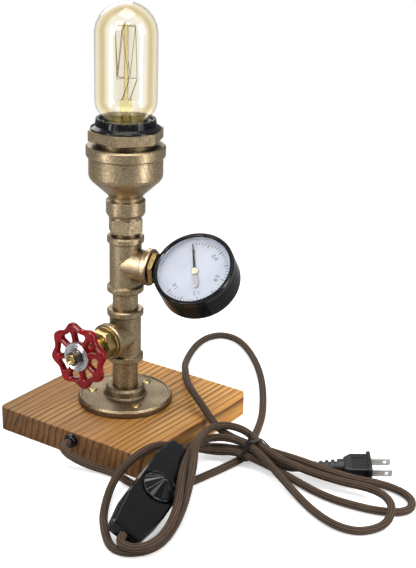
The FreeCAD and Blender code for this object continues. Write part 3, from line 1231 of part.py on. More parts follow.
def dimmer_lower_shell():
    shell = dimmer_outside().cut(dimmer_hull(DIMMER_WALL))
    shell = shell.common(dimmer_slab(-1.0, DIMMER_SPLIT))
    for x, y in case_screw_places():
        shell = shell.fuse(at(x, y, cylinder(CASE_BOSS_RADIUS, DIMMER_WALL / 2, DIMMER_SPLIT)))
        shell = shell.cut(at(x, y, cylinder(CASE_SCREW_RADIUS + GLAND_CLEARANCE, -1.0, DIMMER_SPLIT + 1.0)))
        shell = shell.cut(at(x, y, cylinder(CASE_SCREW_HEAD_RADIUS + 0.2, -1.0, CASE_SCREW_SINK)))
    for x in (-CIRCUIT_LENGTH / 3, CIRCUIT_LENGTH / 3):
        for y in (-CIRCUIT_WIDTH / 3, CIRCUIT_WIDTH / 3):
            post = cylinder(STANDOFF_RADIUS, DIMMER_WALL / 2, DIMMER_WALL + CIRCUIT_STANDOFF)
            shell = shell.fuse(at(x, y, post))
    return shell.cut(inlet_holes()).removeSplitter()


def dimmer_upper_shell():
    outside = dimmer_outside()
    shell = outside.cut(dimmer_hull(DIMMER_WALL)).common(dimmer_slab(DIMMER_SPLIT, DIMMER_HEIGHT + 1.0))
    pad = at(KNOB_X, KNOB_Y, cylinder(KNOB_RECESS_RADIUS + DIMMER_WALL, PAD_LOW, DIMMER_HEIGHT))
    shell = shell.fuse(pad.common(outside))
    for x, y in case_screw_places():
        boss = at(x, y, cylinder(CASE_BOSS_RADIUS, DIMMER_SPLIT, DIMMER_HEIGHT)).common(outside)
        shell = shell.fuse(boss)
        pilot_top = CASE_SCREW_SINK + CASE_SCREW_LENGTH + 0.2
        pilot = cylinder(CASE_SCREW_RADIUS + GLAND_CLEARANCE, DIMMER_SPLIT - 1.0, pilot_top)
        shell = shell.cut(at(x, y, pilot))
    shell = shell.cut(at(KNOB_X, KNOB_Y, cylinder(KNOB_RECESS_RADIUS, RECESS_FLOOR, DIMMER_HEIGHT + 1.0)))
    bearing = cylinder(POT_SHAFT_RADIUS + SHAFT_CLEARANCE, PAD_LOW - 1.0, DIMMER_HEIGHT)
    shell = shell.cut(at(KNOB_X, KNOB_Y, bearing))
    return shell.cut(inlet_holes()).removeSplitter()


def fluted_ring(radius, depth, height):
    """Closed outline whose corners stand out and in by turns."""
    points = []
    for index in range(2 * KNOB_FLUTES):
        x, y = polar(radius - depth * (index % 2), index * 180.0 / KNOB_FLUTES)
        points.append(Vector(x, y, height))
    points.append(points[0])
    return Part.makePolygon(points)


def dimmer_knob():
    """Fluted cone with a plain skirt and a small flat tip, bored for its shaft."""
    low = RECESS_FLOOR + KNOB_GAP
    shoulder = low + KNOB_SKIRT
    tip = DIMMER_HEIGHT + KNOB_HEIGHT
    cone = Part.makeLoft([fluted_ring(KNOB_RADIUS, KNOB_FLUTE_DEPTH, shoulder),
                          fluted_ring(KNOB_TIP_RADIUS, KNOB_FLUTE_DEPTH / 4, tip)], True, True)
    knob = cylinder(KNOB_RADIUS, low, shoulder).fuse(cone)
    return at(KNOB_X, KNOB_Y, knob.cut(cylinder(POT_SHAFT_RADIUS, low - 1.0, low + SHAFT_IN_KNOB)))


def knob_shaft():
    top = RECESS_FLOOR + KNOB_GAP + SHAFT_IN_KNOB
    return at(KNOB_X, KNOB_Y, cylinder(POT_SHAFT_RADIUS, PAD_LOW - SHAFT_IN_POT, top))


def potentiometer():
    """Round can between the circuit board and the upper shell, with the bearing of the shaft."""
    can = cylinder(POT_RADIUS, CIRCUIT_TOP, PAD_LOW)
    bearing = cylinder(POT_SHAFT_RADIUS + SHAFT_CLEARANCE, PAD_LOW - SHAFT_IN_POT, PAD_LOW + 1)
    return at(KNOB_X, KNOB_Y, can.cut(bearing))


def dimmer_circuit():
    low = Vector(0, 0, CIRCUIT_TOP - CIRCUIT_THICKNESS)
    return box(CIRCUIT_LENGTH, CIRCUIT_WIDTH, CIRCUIT_THICKNESS, low)


def dimmer_choke():
    return at(CHOKE_X, 0, ring(CHOKE_OUTER, CHOKE_INNER, CIRCUIT_TOP, CIRCUIT_TOP + CHOKE_HEIGHT))


def dimmer_capacitor():
    return box(CAPACITOR_LENGTH, CAPACITOR_WIDTH, CAPACITOR_HEIGHT, Vector(CAPACITOR_X, 0, CIRCUIT_TOP))


def dimmer_screws():
    screws = []
    for x, y in case_screw_places():
        seat = CASE_SCREW_SINK
        head = cylinder(CASE_SCREW_HEAD_RADIUS, seat - CASE_SCREW_HEAD_HEIGHT, seat)
        screw = head.fuse(cylinder(CASE_SCREW_RADIUS, seat, seat + CASE_SCREW_LENGTH))
        slot = box(3.0, 0.7, 0.6, Vector(0, 0, seat - CASE_SCREW_HEAD_HEIGHT))
        screw = screw.cut(slot)
        slot.rotate(Vector(0, 0, 0), Vector(0, 0, 1), 90)
        screws.append(at(x, y, screw.cut(slot)))
    return Part.makeCompound(screws)


def dimmer_wires():
    """The ends of the two leads' wires, laid on the circuit board inside the case."""
    wires = []
    reach = DIMMER_LENGTH / 2 - DIMMER_WALL - (CIRCUIT_LENGTH / 2 - CASE_WIRE_END)
    level = CIRCUIT_TOP + WIRE_RADIUS
    for end in (-1, 1):
        for side in (-1, 1):
            start = Vector(end * (DIMMER_LENGTH / 2 - DIMMER_WALL), side * WIRE_SPACING / 2, level)
            wires.append(Part.makeCylinder(WIRE_RADIUS, reach, start, Vector(-end, 0, 0)))
    return Part.makeCompound(wires)


# ================================================================ plug
def plug_frame():
    """Local Z points out of the plug's face along the blades; local X runs from blade to blade."""
    level = Vector(-PLUG_AXIS.y, PLUG_AXIS.x, 0).normalize()
    angle = math.radians(PLUG_ROLL)
    return local_frame(PLUG_FACE, level * math.cos(angle) + Vector(0, 0, math.sin(angle)), PLUG_AXIS)


PLUG_FRAME = plug_frame()


def rounded_block(width, height, low, high, corner):
    block = box(width, height, high - low, Vector(0, 0, low))
    upright = [edge for edge in block.Edges if edge.BoundBox.ZLength > (high - low) / 2]
    return block.makeFillet(corner, upright)


def section_wire(width, height, level):
    x, y = width / 2, height / 2
    corners = [Vector(-x, -y, level), Vector(x, -y, level), Vector(x, y, level), Vector(-x, y, level)]
    corners.append(corners[0])
    return Part.makePolygon(corners)


def blade_blanks(low, high):
    """The two flat bars of the blades between two levels."""
    bars = []
    for side in (-1, 1):
        bars.append(box(BLADE_THICKNESS, BLADE_WIDTH, high - low, Vector(side * BLADE_SPACING / 2, 0, low)))
    return bars


def plug_body():
    """Moulded body that tapers at the rear, with its face plate and a sunk panel on each broad side."""
    taper_high = -PLUG_LENGTH + PLUG_TAPER
    body_length = -PLUG_PLATE_THICKNESS - taper_high
    block = box(PLUG_BODY_WIDTH, PLUG_BODY_HEIGHT, body_length, Vector(0, 0, taper_high))
    taper = Part.makeLoft([section_wire(PLUG_REAR_WIDTH, PLUG_REAR_HEIGHT, -PLUG_LENGTH),
                           section_wire(PLUG_BODY_WIDTH, PLUG_BODY_HEIGHT, taper_high)], True, True)
    body = block.fuse(taper).removeSplitter()
    edges = [edge for edge in body.Edges if edge.BoundBox.ZLength > 1.0]
    body = body.makeFillet(PLUG_CORNER_RADIUS, edges)
    plate = rounded_block(PLUG_PLATE_WIDTH, PLUG_PLATE_HEIGHT, -PLUG_PLATE_THICKNESS, 0.0, PLUG_PLATE_CORNER)
    body = body.fuse(plate)
    panel_low = taper_high + 1.0
    for side in (-1, 1):
        middle = Vector(0, side * PLUG_BODY_HEIGHT / 2, panel_low)
        body = body.cut(box(PLUG_PANEL_WIDTH, 2 * PLUG_PANEL_DEPTH, PLUG_PANEL_LENGTH, middle))
    return body.cut(blade_blanks(-BLADE_ROOT, 1.0))


def plug_blades():
    """Flat nickel blades with rounded ends and a round hole each."""
    blades = []
    across = Vector(-2 * BLADE_SPACING, 0, BLADE_LENGTH - BLADE_HOLE_BACK)
    hole = Part.makeCylinder(BLADE_HOLE_RADIUS, 4 * BLADE_SPACING, across, Vector(1, 0, 0))
    for bar in blade_blanks(-BLADE_ROOT, BLADE_LENGTH):
        ends = [edge for edge in bar.Edges
                if edge.BoundBox.ZMin > BLADE_LENGTH - 0.1 and edge.BoundBox.XLength > BLADE_THICKNESS / 2]
        blade = bar.makeFillet(BLADE_CORNER, ends)
        blades.append(blade.cut(hole))
    return Part.makeCompound(blades)


def plug_relief():
    """Ribbed sleeve between the lead's end and the rear of the plug."""
    rear = PLUG_FACE - Vector(PLUG_AXIS).normalize() * PLUG_LENGTH
    start = Vector(*PLUG_ROUTE[-1])
    axis = rear - start
    pitch = axis.Length / RELIEF_RIBS
    sleeve = cylinder(RELIEF_CORE_RADIUS, 0, axis.Length + 1.0)
    growth = (RELIEF_RADIUS - RELIEF_RADIUS_START) / (RELIEF_RIBS - 1)
    for index in range(RELIEF_RIBS):
        low = index * pitch
        high = low + pitch * RELIEF_RIB_SHARE
        if index == RELIEF_RIBS - 1:
            high = axis.Length + 1.0
        sleeve = sleeve.fuse(cylinder(RELIEF_RADIUS_START + growth * index, low, high))
    sleeve = placed(sleeve, local_frame(start, Vector(0, 0, 1), axis))
    return sleeve.cut(placed(plug_body(), PLUG_FRAME))


# ================================================================ build
def main():
    keep("base_board", base_board())
    keep("floor_flange", floor_flange())
    keep("flange_screws", flange_screws())
    keep("lower_nipple", pipe_nipple(FLANGE_LOW + 2.0, LOWER_TEE_LOW + THREAD_DEPTH))
    keep("lower_tee", tee(LOWER_TEE_LOW, LOWER_TEE_LENGTH, 180.0))
    keep("middle_nipple", pipe_nipple(LOWER_TEE_HIGH - THREAD_DEPTH, UPPER_TEE_LOW + THREAD_DEPTH))
    keep("upper_tee", tee(UPPER_TEE_LOW, UPPER_TEE_LENGTH, GAUGE_AZIMUTH))
    keep("hex_nipple", hex_nipple())
    keep("bell_reducer", bell_reducer())
    keep("hex_bushing", hex_bushing())
    keep("lampholder_body", lampholder_body())
    keep("shade_ring", shade_ring())
    keep("screw_shell", screw_shell())
    keep("contact_leaf", contact_leaf())
    keep("bulb_contact", bulb_contact())
    keep("bulb_cap", bulb_cap())
    keep("bulb_glass", bulb_glass())
    keep("glass_stem", glass_stem())
    keep("support_wires", support_wires())
    keep("filament", filament())
    keep("lead_wires", lead_wires())
    keep("tap_bonnet", placed(tap_bonnet(), TAP_FRAME))
    keep("packing_nut", placed(packing_nut(), TAP_FRAME))
    keep("tap_disc", placed(tap_disc(), TAP_FRAME))
    keep("tap_stem", placed(tap_stem(), TAP_FRAME))
    keep("handwheel", placed(handwheel(), TAP_FRAME))
    keep("wheel_washer", placed(wheel_washer(), TAP_FRAME))
    keep("wheel_nut", placed(wheel_nut(), TAP_FRAME))
    keep("gauge_bush", placed(gauge_bush(), STEM_FRAME))
    keep("gauge_socket", gauge_socket())
    keep("gauge_case", gauge_case())
    keep("gauge_bezel", gauge_bezel())
    keep("gauge_window", gauge_window())
    keep("gauge_dial", gauge_dial())
    keep("gauge_pointer", gauge_pointer())
    keep("pointer_spindle", pointer_spindle())
    keep("sector_gear", sector_gear())
    keep("bourdon_tube", bourdon_tube())
    keep("movement_plates", movement_plates())
    keep("tip_link", tip_link())
    keep("cord_gland", cord_gland())
    keep("internal_wires", internal_wires())
    keep("cord_lamp_side", lead(LAMP_ROUTE, "cord_lamp_side"))
    keep("cord_plug_side", lead(PLUG_ROUTE, "cord_plug_side"))
    keep("cord_tie", cord_tie())
    keep("dimmer_lower_shell", placed(dimmer_lower_shell(), DIMMER_FRAME))
    keep("dimmer_upper_shell", placed(dimmer_upper_shell(), DIMMER_FRAME))
    keep("dimmer_knob", placed(dimmer_knob(), DIMMER_FRAME))
    keep("knob_shaft", placed(knob_shaft(), DIMMER_FRAME))
    keep("potentiometer", placed(potentiometer(), DIMMER_FRAME))
    keep("dimmer_circuit", placed(dimmer_circuit(), DIMMER_FRAME))
    keep("dimmer_choke", placed(dimmer_choke(), DIMMER_FRAME))
    keep("dimmer_capacitor", placed(dimmer_capacitor(), DIMMER_FRAME))
    keep("dimmer_screws", placed(dimmer_screws(), DIMMER_FRAME))
    keep("dimmer_wires", placed(dimmer_wires(), DIMMER_FRAME))
    keep("plug_body", placed(plug_body(), PLUG_FRAME))
    keep("plug_blades", placed(plug_blades(), PLUG_FRAME))
    keep("plug_relief", plug_relief())
    os.makedirs("parts", exist_ok=True)
    for name, shape in NODES.items():
        shape.exportStep("parts/" + name + ".step")
        print(name, shape.isValid(), len(shape.Solids), round(shape.Volume, 1))


main()
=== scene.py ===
"""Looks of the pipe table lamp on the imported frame.

Braided leads, cast brass fittings, burnt pine, glass, enamel and plastics, each a material of
nodes, with the marks on the gauge's dial, the camera, the lamps and the floor.
"""
import json
import math

import bmesh
import bpy
from mathutils import Matrix, Vector

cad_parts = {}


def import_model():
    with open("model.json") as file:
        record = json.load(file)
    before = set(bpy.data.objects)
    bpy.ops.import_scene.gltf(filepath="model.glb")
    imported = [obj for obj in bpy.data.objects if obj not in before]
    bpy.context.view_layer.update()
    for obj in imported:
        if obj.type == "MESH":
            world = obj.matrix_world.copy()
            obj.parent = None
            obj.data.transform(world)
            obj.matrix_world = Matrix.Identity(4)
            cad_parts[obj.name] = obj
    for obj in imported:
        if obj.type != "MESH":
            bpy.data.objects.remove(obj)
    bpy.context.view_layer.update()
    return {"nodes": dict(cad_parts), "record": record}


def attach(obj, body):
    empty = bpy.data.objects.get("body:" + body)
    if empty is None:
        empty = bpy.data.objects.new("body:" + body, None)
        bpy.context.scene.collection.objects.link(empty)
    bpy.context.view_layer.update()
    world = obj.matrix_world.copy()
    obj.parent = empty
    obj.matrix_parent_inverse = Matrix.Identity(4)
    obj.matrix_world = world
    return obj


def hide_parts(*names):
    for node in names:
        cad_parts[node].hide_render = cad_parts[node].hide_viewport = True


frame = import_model()
NODES = frame["nodes"]
MM = 0.001


# ================================================================ camera
CAMERA_PLACE = (-0.7494, -0.5804, 0.4734)
CAMERA_YAW = -56.35
CAMERA_PITCH = 20.17              # down
CAMERA_ROLL = 1.60
FOCAL_PIXELS = 1225.0             # focal length in pixels of the photograph
PHOTO_HEIGHT = 568.0
SENSOR_HEIGHT = 36.0


def camera():
    """The photograph's camera, solved from the board's outline and the upright column."""
    yaw, pitch, roll = (math.radians(value) for value in (CAMERA_YAW, CAMERA_PITCH, CAMERA_ROLL))
    ahead = Vector((-math.sin(yaw) * math.cos(pitch), math.cos(yaw) * math.cos(pitch),
                    -math.sin(pitch)))
    right = ahead.cross(Vector((0, 0, 1))).normalized()
    up = right.cross(ahead)
    turned_right = right * math.cos(roll) + up * math.sin(roll)
    turned_up = up * math.cos(roll) - right * math.sin(roll)
    data = bpy.data.cameras.new("camera")
    data.sensor_fit = "VERTICAL"
    data.sensor_height = SENSOR_HEIGHT
    data.lens = FOCAL_PIXELS * SENSOR_HEIGHT / PHOTO_HEIGHT
    data.clip_end = 50.0
    view = bpy.data.objects.new("camera", data)
    axes = Matrix((turned_right, turned_up, -ahead)).transposed().to_4x4()
    view.matrix_world = Matrix.Translation(CAMERA_PLACE) @ axes
    bpy.context.scene.collection.objects.link(view)
    bpy.context.scene.camera = view


camera()


# ================================================================ node helpers
class Nodes:
    """A node tree with short calls for the nodes used here."""

    def __init__(self, tree):
        self.tree = tree

    def node(self, kind, **values):
        made = self.tree.nodes.new(kind)
        for key, value in values.items():
            setattr(made, key, value)
        return made

    def link(self, source, target):
        self.tree.links.new(source, target)

    def feed(self, socket, value):
        """Link another node's output to a socket, or set the socket's own value."""
        if isinstance(value, bpy.types.NodeSocket):
            self.link(value, socket)
        else:
            socket.default_value = value

    def split(self, vector):
        """The X, Y and Z of a vector."""
        parts = self.node("ShaderNodeSeparateXYZ")
        self.link(vector, parts.inputs["Vector"])
        return parts.outputs["X"], parts.outputs["Y"], parts.outputs["Z"]

    def ramp(self, factor, *stops):
        """Colour ramp through (position, colour) stops, where a plain number is a grey."""
        ramp = self.node("ShaderNodeValToRGB")
        elements = ramp.color_ramp.elements
        while len(elements) < len(stops):
            elements.new(0.5)
        for element, (position, colour) in zip(elements, stops):
            element.position = position
            grey = not hasattr(colour, "__len__")
            element.color = (colour, colour, colour, 1.0) if grey else (*colour, 1.0)
        self.link(factor, ramp.inputs["Fac"])
        return ramp.outputs["Color"]

    def math(self, operation, first, second=0.0, third=0.0):
        made = self.node("ShaderNodeMath", operation=operation)
        for socket, value in zip(made.inputs, (first, second, third)):
            self.feed(socket, value)
        return made.outputs["Value"]

    def length(self, first, second):
        """Length of the flat vector with these two parts."""
        squares = (self.math("MULTIPLY", part, part) for part in (first, second))
        return self.math("SQRT", self.math("ADD", *squares))

    def mix(self, factor, first, second, blend="MIX"):
        mix = self.node("ShaderNodeMix", data_type="RGBA", blend_type=blend)
        self.feed(mix.inputs["Factor"], factor)
        for socket, value in ((mix.inputs["A"], first), (mix.inputs["B"], second)):
            self.feed(socket, (*value, 1.0) if isinstance(value, tuple) else value)
        return mix.outputs["Result"]

    def mix_shaders(self, factor, first, second):
        mix = self.node("ShaderNodeMixShader")
        for socket, value in zip(mix.inputs, (factor, first, second)):
            self.link(value, socket)
        return mix.outputs["Shader"]

    def emission(self, strength):
        glow = self.node("ShaderNodeEmission")
        glow.inputs["Strength"].default_value = strength
        return glow.outputs["Emission"]


class Shader(Nodes):
    """A new material with a Principled shader, whose textures lie in the frame's metres."""

    def __init__(self, name):
        self.material = bpy.data.materials.new(name)
        self.material.use_nodes = True
        super().__init__(self.material.node_tree)
        self.bsdf = self.tree.nodes["Principled BSDF"]
        self.output = self.tree.nodes["Material Output"]
        self.place = self.node("ShaderNodeTexCoord").outputs["Object"]

    def set(self, **values):
        """Feed the Principled shader's sockets, named with _ for each space."""
        for key, value in values.items():
            self.feed(self.bsdf.inputs[key.replace("_", " ")], value)

    def mapped(self, scale):
        """The place with each axis scaled, for textures that are drawn out."""
        mapping = self.node("ShaderNodeMapping")
        self.link(self.place, mapping.inputs["Vector"])
        mapping.inputs["Scale"].default_value = scale
        return mapping.outputs["Vector"]

    def noise(self, scale, detail=4.0, rough=0.55, vector=None):
        noise = self.node("ShaderNodeTexNoise")
        self.link(vector or self.place, noise.inputs["Vector"])
        noise.inputs["Scale"].default_value = scale
        noise.inputs["Detail"].default_value = detail
        noise.inputs["Roughness"].default_value = rough
        return noise.outputs["Fac"]

    def voronoi(self, scale):
        cells = self.node("ShaderNodeTexVoronoi")
        self.link(self.place, cells.inputs["Vector"])
        cells.inputs["Scale"].default_value = scale
        return cells.outputs["Distance"]

    def bump(self, height, distance, strength=1.0, normal=None):
        bump = self.node("ShaderNodeBump")
        bump.inputs["Strength"].default_value = strength
        bump.inputs["Distance"].default_value = distance
        self.link(height, bump.inputs["Height"])
        if normal:
            self.link(normal, bump.inputs["Normal"])
        return bump.outputs["Normal"]

    def soft_edges(self, radius):
        """Normal that rounds the sharp edges within a radius."""
        bevel = self.node("ShaderNodeBevel", samples=4)
        bevel.inputs["Radius"].default_value = radius
        return bevel.outputs["Normal"]


# ================================================================ leads
# The routes are the control points of part.py's leads, in mm.
LAMP_ROUTE = [
    (-80, -5, 13.5), (-86.5, -5, 13.5), (-91, -9, 12.5), (-92, -18, 9.5), (-87.5, -31.5, 4.5),
    (-82.5, -54.5, 3.1), (-89.5, -78.5, 3.1), (-88, -95, 3.1), (-76, -105.5, 3.1), (-51, -112, 3.1),
    (-17.5, -119, 3.1), (6, -122, 3.1), (32, -110, 3.1), (68, -96, 3.1), (101.5, -76.5, 3.1),
    (134, -55, 3.1), (164, -30.5, 3.1), (190, -3.5, 3.1), (203.5, 17.5, 3.1), (204, 31.5, 3.1),
    (198.5, 39, 3.1), (186.5, 43, 3.1), (166.5, 41, 3.1), (139.5, 31.5, 3.1), (106.5, 12.5, 11),
    (70.5, -12.5, 26.5), (38, -37.5, 30), (15, -68, 29.5), (9.5, -86.5, 16.5), (10, -102.5, 10.5),
    (11.5, -133, 9), (3.5, -169, 15), (9, -208, 10), (27, -229.5, 3.5), (27, -246.5, 3.1),
    (20, -259.5, 3.5), (9, -265, 3.1), (-0.5, -262.5, 3.1), (-8, -253, 3.1), (-13.5, -236.5, 3.1),
    (-16.5, -205, 3.1), (-7.5, -171, 3.1), (-3, -147, 5), (-8.5, -119.5, 11.5), (-11, -101.5, 6.5),
    (-20, -91, 9.5), (-33.5, -91, 18), (-46.5, -96.2, 23.4), (-55.27, -98.24, 22.49)]
PLUG_ROUTE = [
    (-157.95, -122.09, 11.36), (-165.8, -123.6, 10.6), (-169, -129, 10), (-167, -137.5, 9),
    (-157.5, -144.5, 9.5), (-139, -144.5, 10.5), (-115, -137.5, 17), (-86, -120, 27.5),
    (-53, -106.5, 30), (-29, -95.5, 19.5), (-11.5, -93, 16), (-2.5, -101.5, 16.5), (-1, -118, 17),
    (-4.5, -137.5, 15), (-14.5, -164, 6), (-36, -199.5, 3.1), (-48, -226, 3.5),
    (-47.5, -243.5, 3.1), (-39.5, -254, 3.1), (-26, -261, 4.5), (-12, -259, 10), (0.5, -248, 10.5),
    (10.5, -228.5, 7), (1, -201.5, 9), (-4, -163.5, 13), (2.5, -136.5, 15.5), (13, -119.5, 17),
    (15.5, -106.5, 18.5), (9.5, -95.5, 20.5), (-2, -90.5, 21.5), (-25.5, -97.5, 27.5),
    (-57.5, -112, 36.5), (-82, -127.5, 29), (-108, -136.5, 9), (-136, -143, 3.1),
    (-154.5, -142, 3.1), (-165, -133.5, 3.1), (-168.5, -125, 3.1), (-166.5, -115.5, 3.1),
    (-155.5, -102.5, 3.5), (-134.5, -83.5, 3.1), (-100.5, -68, 13.5), (-74, -74, 25.5),
    (-56.5, -78.5, 25), (-38, -79.5, 15), (-20, -78.5, 5.5), (-8, -80.5, 3.5), (-2.5, -89.5, 3.5),
    (-3.5, -106.5, 9), (2, -132.5, 10), (3.5, -158, 4), (7, -170, 6.5), (11.9, -178.1, 7)]
CORD_RADIUS = 3.1 * MM
CORD_SIDES = 28
CORD_STEPS = 10                   # divisions of the curve between two of its points
STRANDS_AROUND = 16.0             # diagonal strands of the braid, each way
STRANDS_ALONG = 520.0             # the same along a metre
RIBS_AROUND = 9.0


def finished(name, mesh):
    """A bmesh made into an object of the scene."""
    data = bpy.data.meshes.new(name)
    mesh.to_mesh(data)
    mesh.free()
    made = bpy.data.objects.new(name, data)
    bpy.context.scene.collection.objects.link(made)
    return made


def spline_points(route, name):
    """Points along the smooth NURBS curve that has the route's points as its controls."""
    data = bpy.data.curves.new(name, "CURVE")
    data.dimensions = "3D"
    data.resolution_u = CORD_STEPS
    spline = data.splines.new("NURBS")
    spline.points.add(len(route) - 1)
    for point, place in zip(spline.points, route):
        point.co = (*(value * MM for value in place), 1.0)
    spline.order_u = 3
    spline.use_endpoint_u = True
    line = bpy.data.objects.new(name, data)
    mesh = bpy.data.meshes.new_from_object(line)
    points = [vertex.co.copy() for vertex in mesh.vertices]
    bpy.data.objects.remove(line)
    bpy.data.meshes.remove(mesh)
    return points


def directions(points):
    """Unit tangent and one carried-along side vector at each point of a line."""
    tangents = []
    for index in range(len(points)):
        low = points[max(index - 1, 0)]
        high = points[min(index + 1, len(points) - 1)]
        tangents.append((high - low).normalized())
    side = tangents[0].cross(Vector((0, 0, 1)))
    sides = []
    for tangent in tangents:
        side = (side - tangent * side.dot(tangent)).normalized()
        sides.append(side)
    return list(zip(tangents, sides))


def tube(name, points, radius, sides):
    """Closed round tube whose UVs are (turns round it, metres along it)."""
    mesh = bmesh.new()
    layer = mesh.loops.layers.uv.new("UVMap")
    rings = []
    along = [0.0]
    for first, second in zip(points, points[1:]):
        along.append(along[-1] + (second - first).length)
    for point, (tangent, side) in zip(points, directions(points)):
        other = tangent.cross(side)
        ring = []
        for index in range(sides):
            angle = 2 * math.pi * index / sides
            outward = side * math.cos(angle) + other * math.sin(angle)
            ring.append(mesh.verts.new(point + outward * radius))
        rings.append(ring)
    for row, (low, high) in enumerate(zip(rings, rings[1:])):
        for index in range(sides):
            after = (index + 1) % sides
            face = mesh.faces.new((low[index], low[after], high[after], high[index]))
            face.smooth = True
            corners = ((index, row), (index + 1, row), (index + 1, row + 1), (index, row + 1))
            for loop, (turn, step) in zip(face.loops, corners):
                loop[layer].uv = (turn / sides, along[step])
    mesh.faces.new(list(reversed(rings[0])))
    mesh.faces.new(rings[-1])
    bmesh.ops.recalc_face_normals(mesh, faces=mesh.faces)
    return finished(name, mesh)


def braid():
    """Brown cotton braid: diagonal strands, lengthwise ribs and a little fuzz, with painted
    highlights and shade.
    """
    look = Shader("cord_braid")
    around, along, _ = look.split(look.node("ShaderNodeUVMap").outputs["UV"])
    pitch = look.math("MULTIPLY", along, 2 * math.pi * STRANDS_ALONG)
    turn = look.math("MULTIPLY", around, 2 * math.pi * STRANDS_AROUND)
    rising = look.math("SINE", look.math("ADD", pitch, turn))
    falling = look.math("SINE", look.math("SUBTRACT", pitch, turn))
    weave = look.math("MAXIMUM", rising, falling)
    weave_share = look.math("MULTIPLY_ADD", weave, 0.5, 0.5)
    ribs = look.math("SINE", look.math("MULTIPLY", around, 2 * math.pi * RIBS_AROUND))
    rib_share = look.math("MULTIPLY_ADD", ribs, 0.5, 0.5)
    height = look.math("ADD", look.math("MULTIPLY", weave, 0.35),
                       look.math("MULTIPLY", rib_share, 1.0))
    # Painted highlights and shade: the colour is light on the rib and strand tops and dark in the
    # hollows between them.
    base = look.ramp(rib_share, (0.15, (0.015, 0.008, 0.005)), (0.6, (0.052, 0.030, 0.017)),
                     (1.0, (0.150, 0.095, 0.057)))
    strands = look.ramp(weave_share, (0.2, (0.014, 0.008, 0.004)), (0.9, (0.090, 0.054, 0.031)))
    base = look.mix(0.35, base, strands)
    blotches = look.ramp(look.noise(60.0, 3.0),
                         (0.3, (0.040, 0.025, 0.016)), (0.7, (0.11, 0.070, 0.048)))
    base = look.mix(0.2, base, blotches)
    look.set(Base_Color=base, Roughness=0.72, Normal=look.bump(height, 0.25 * MM, 0.8),
             Sheen_Weight=0.10, Sheen_Roughness=0.5, Sheen_Tint=(0.75, 0.62, 0.5, 1.0),
             Specular_IOR_Level=0.2)
    return look.material


BRAID = braid()


def lead(name, node, route):
    """One braided lead, in place of its CAD tube."""
    points = spline_points(route, name + "_line")
    made = tube(name, points, CORD_RADIUS, CORD_SIDES)
    made.data.materials.append(BRAID)
    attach(made, "lamp")
    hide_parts(node)


lead("lead_lamp_side", "cord_lamp_side", LAMP_ROUTE)
lead("lead_plug_side", "cord_plug_side", PLUG_ROUTE)


# ================================================================ sizes, in mm and degrees
# The same as in part.py.
BOARD_HEIGHT = 20.0
HUB_HEIGHT = 14.0
LOWER_NIPPLE_GAP = 23.5
LOWER_TEE_LENGTH = 46.0
MIDDLE_NIPPLE_GAP = 15.0
UPPER_TEE_LENGTH = 48.3
LOWER_TEE_LOW = BOARD_HEIGHT + HUB_HEIGHT + LOWER_NIPPLE_GAP
TAP_HEIGHT = LOWER_TEE_LOW + LOWER_TEE_LENGTH / 2
GAUGE_HEIGHT = LOWER_TEE_LOW + LOWER_TEE_LENGTH + MIDDLE_NIPPLE_GAP + UPPER_TEE_LENGTH / 2
GAUGE_AZIMUTH = -80.5             # direction of the branch seen from above
GAUGE_TILT = 41.0                 # the face leans back from facing straight up
GAUGE_AXIS_DISTANCE = 64.5
GAUGE_FRONT_OFFSET = 12.0
DIAL_DEPTH = 7.2
POINTER_ZERO = -114.0             # where the pointer and the scale begin, clockwise of the top
# Of the looks alone.
HUB_RADIUS = 3.0                  # the pointer is cream up to here
BULB_COLLAR_LOW = 252.0           # the bulb carries the painted yellow-green collar reflection fully up to this height,
BULB_COLLAR_HIGH = 266.0          # and is clear from here up
RING_PITCH = 1.6                  # between the turned rings about the tap's axis


def gauge_axes():
    """Centre of the gauge's front, its right, its top and its outward normal."""
    azimuth = math.radians(GAUGE_AZIMUTH)
    tilt = math.radians(GAUGE_TILT)
    top = Vector((math.cos(azimuth), math.sin(azimuth), 0))
    side = top.cross(Vector((0, 0, 1)))
    normal = Vector((0, 0, 1)) * math.cos(tilt) + side * math.sin(tilt)
    right = top.cross(normal)
    centre = (top * GAUGE_AXIS_DISTANCE * MM + normal * GAUGE_FRONT_OFFSET * MM
              + Vector((0, 0, GAUGE_HEIGHT * MM)))
    return centre, right, top, normal


GAUGE_CENTRE, GAUGE_RIGHT, GAUGE_TOP, GAUGE_NORMAL = gauge_axes()


def dial_direction(clockwise):
    """Direction from the dial's middle, by its angle clockwise of the top."""
    angle = math.radians(clockwise)
    return GAUGE_RIGHT * math.sin(angle) + GAUGE_TOP * math.cos(angle)


# ================================================================ materials
GLASS_IOR = 1.45
CREVICE_DEPTH = 10.0 * MM         # reach of the painted shade and grime in the castings' corners
WOOD_RINGS = (165.0, 42.0)        # growth rings a metre across the board and up it
STAIN_AND_SHADE_SLOPE = 2.7                 # how much lighter the board gets a metre along X and against Y, as stain and painted shade
STAIN_AND_SHADE_MIDDLE = 0.95


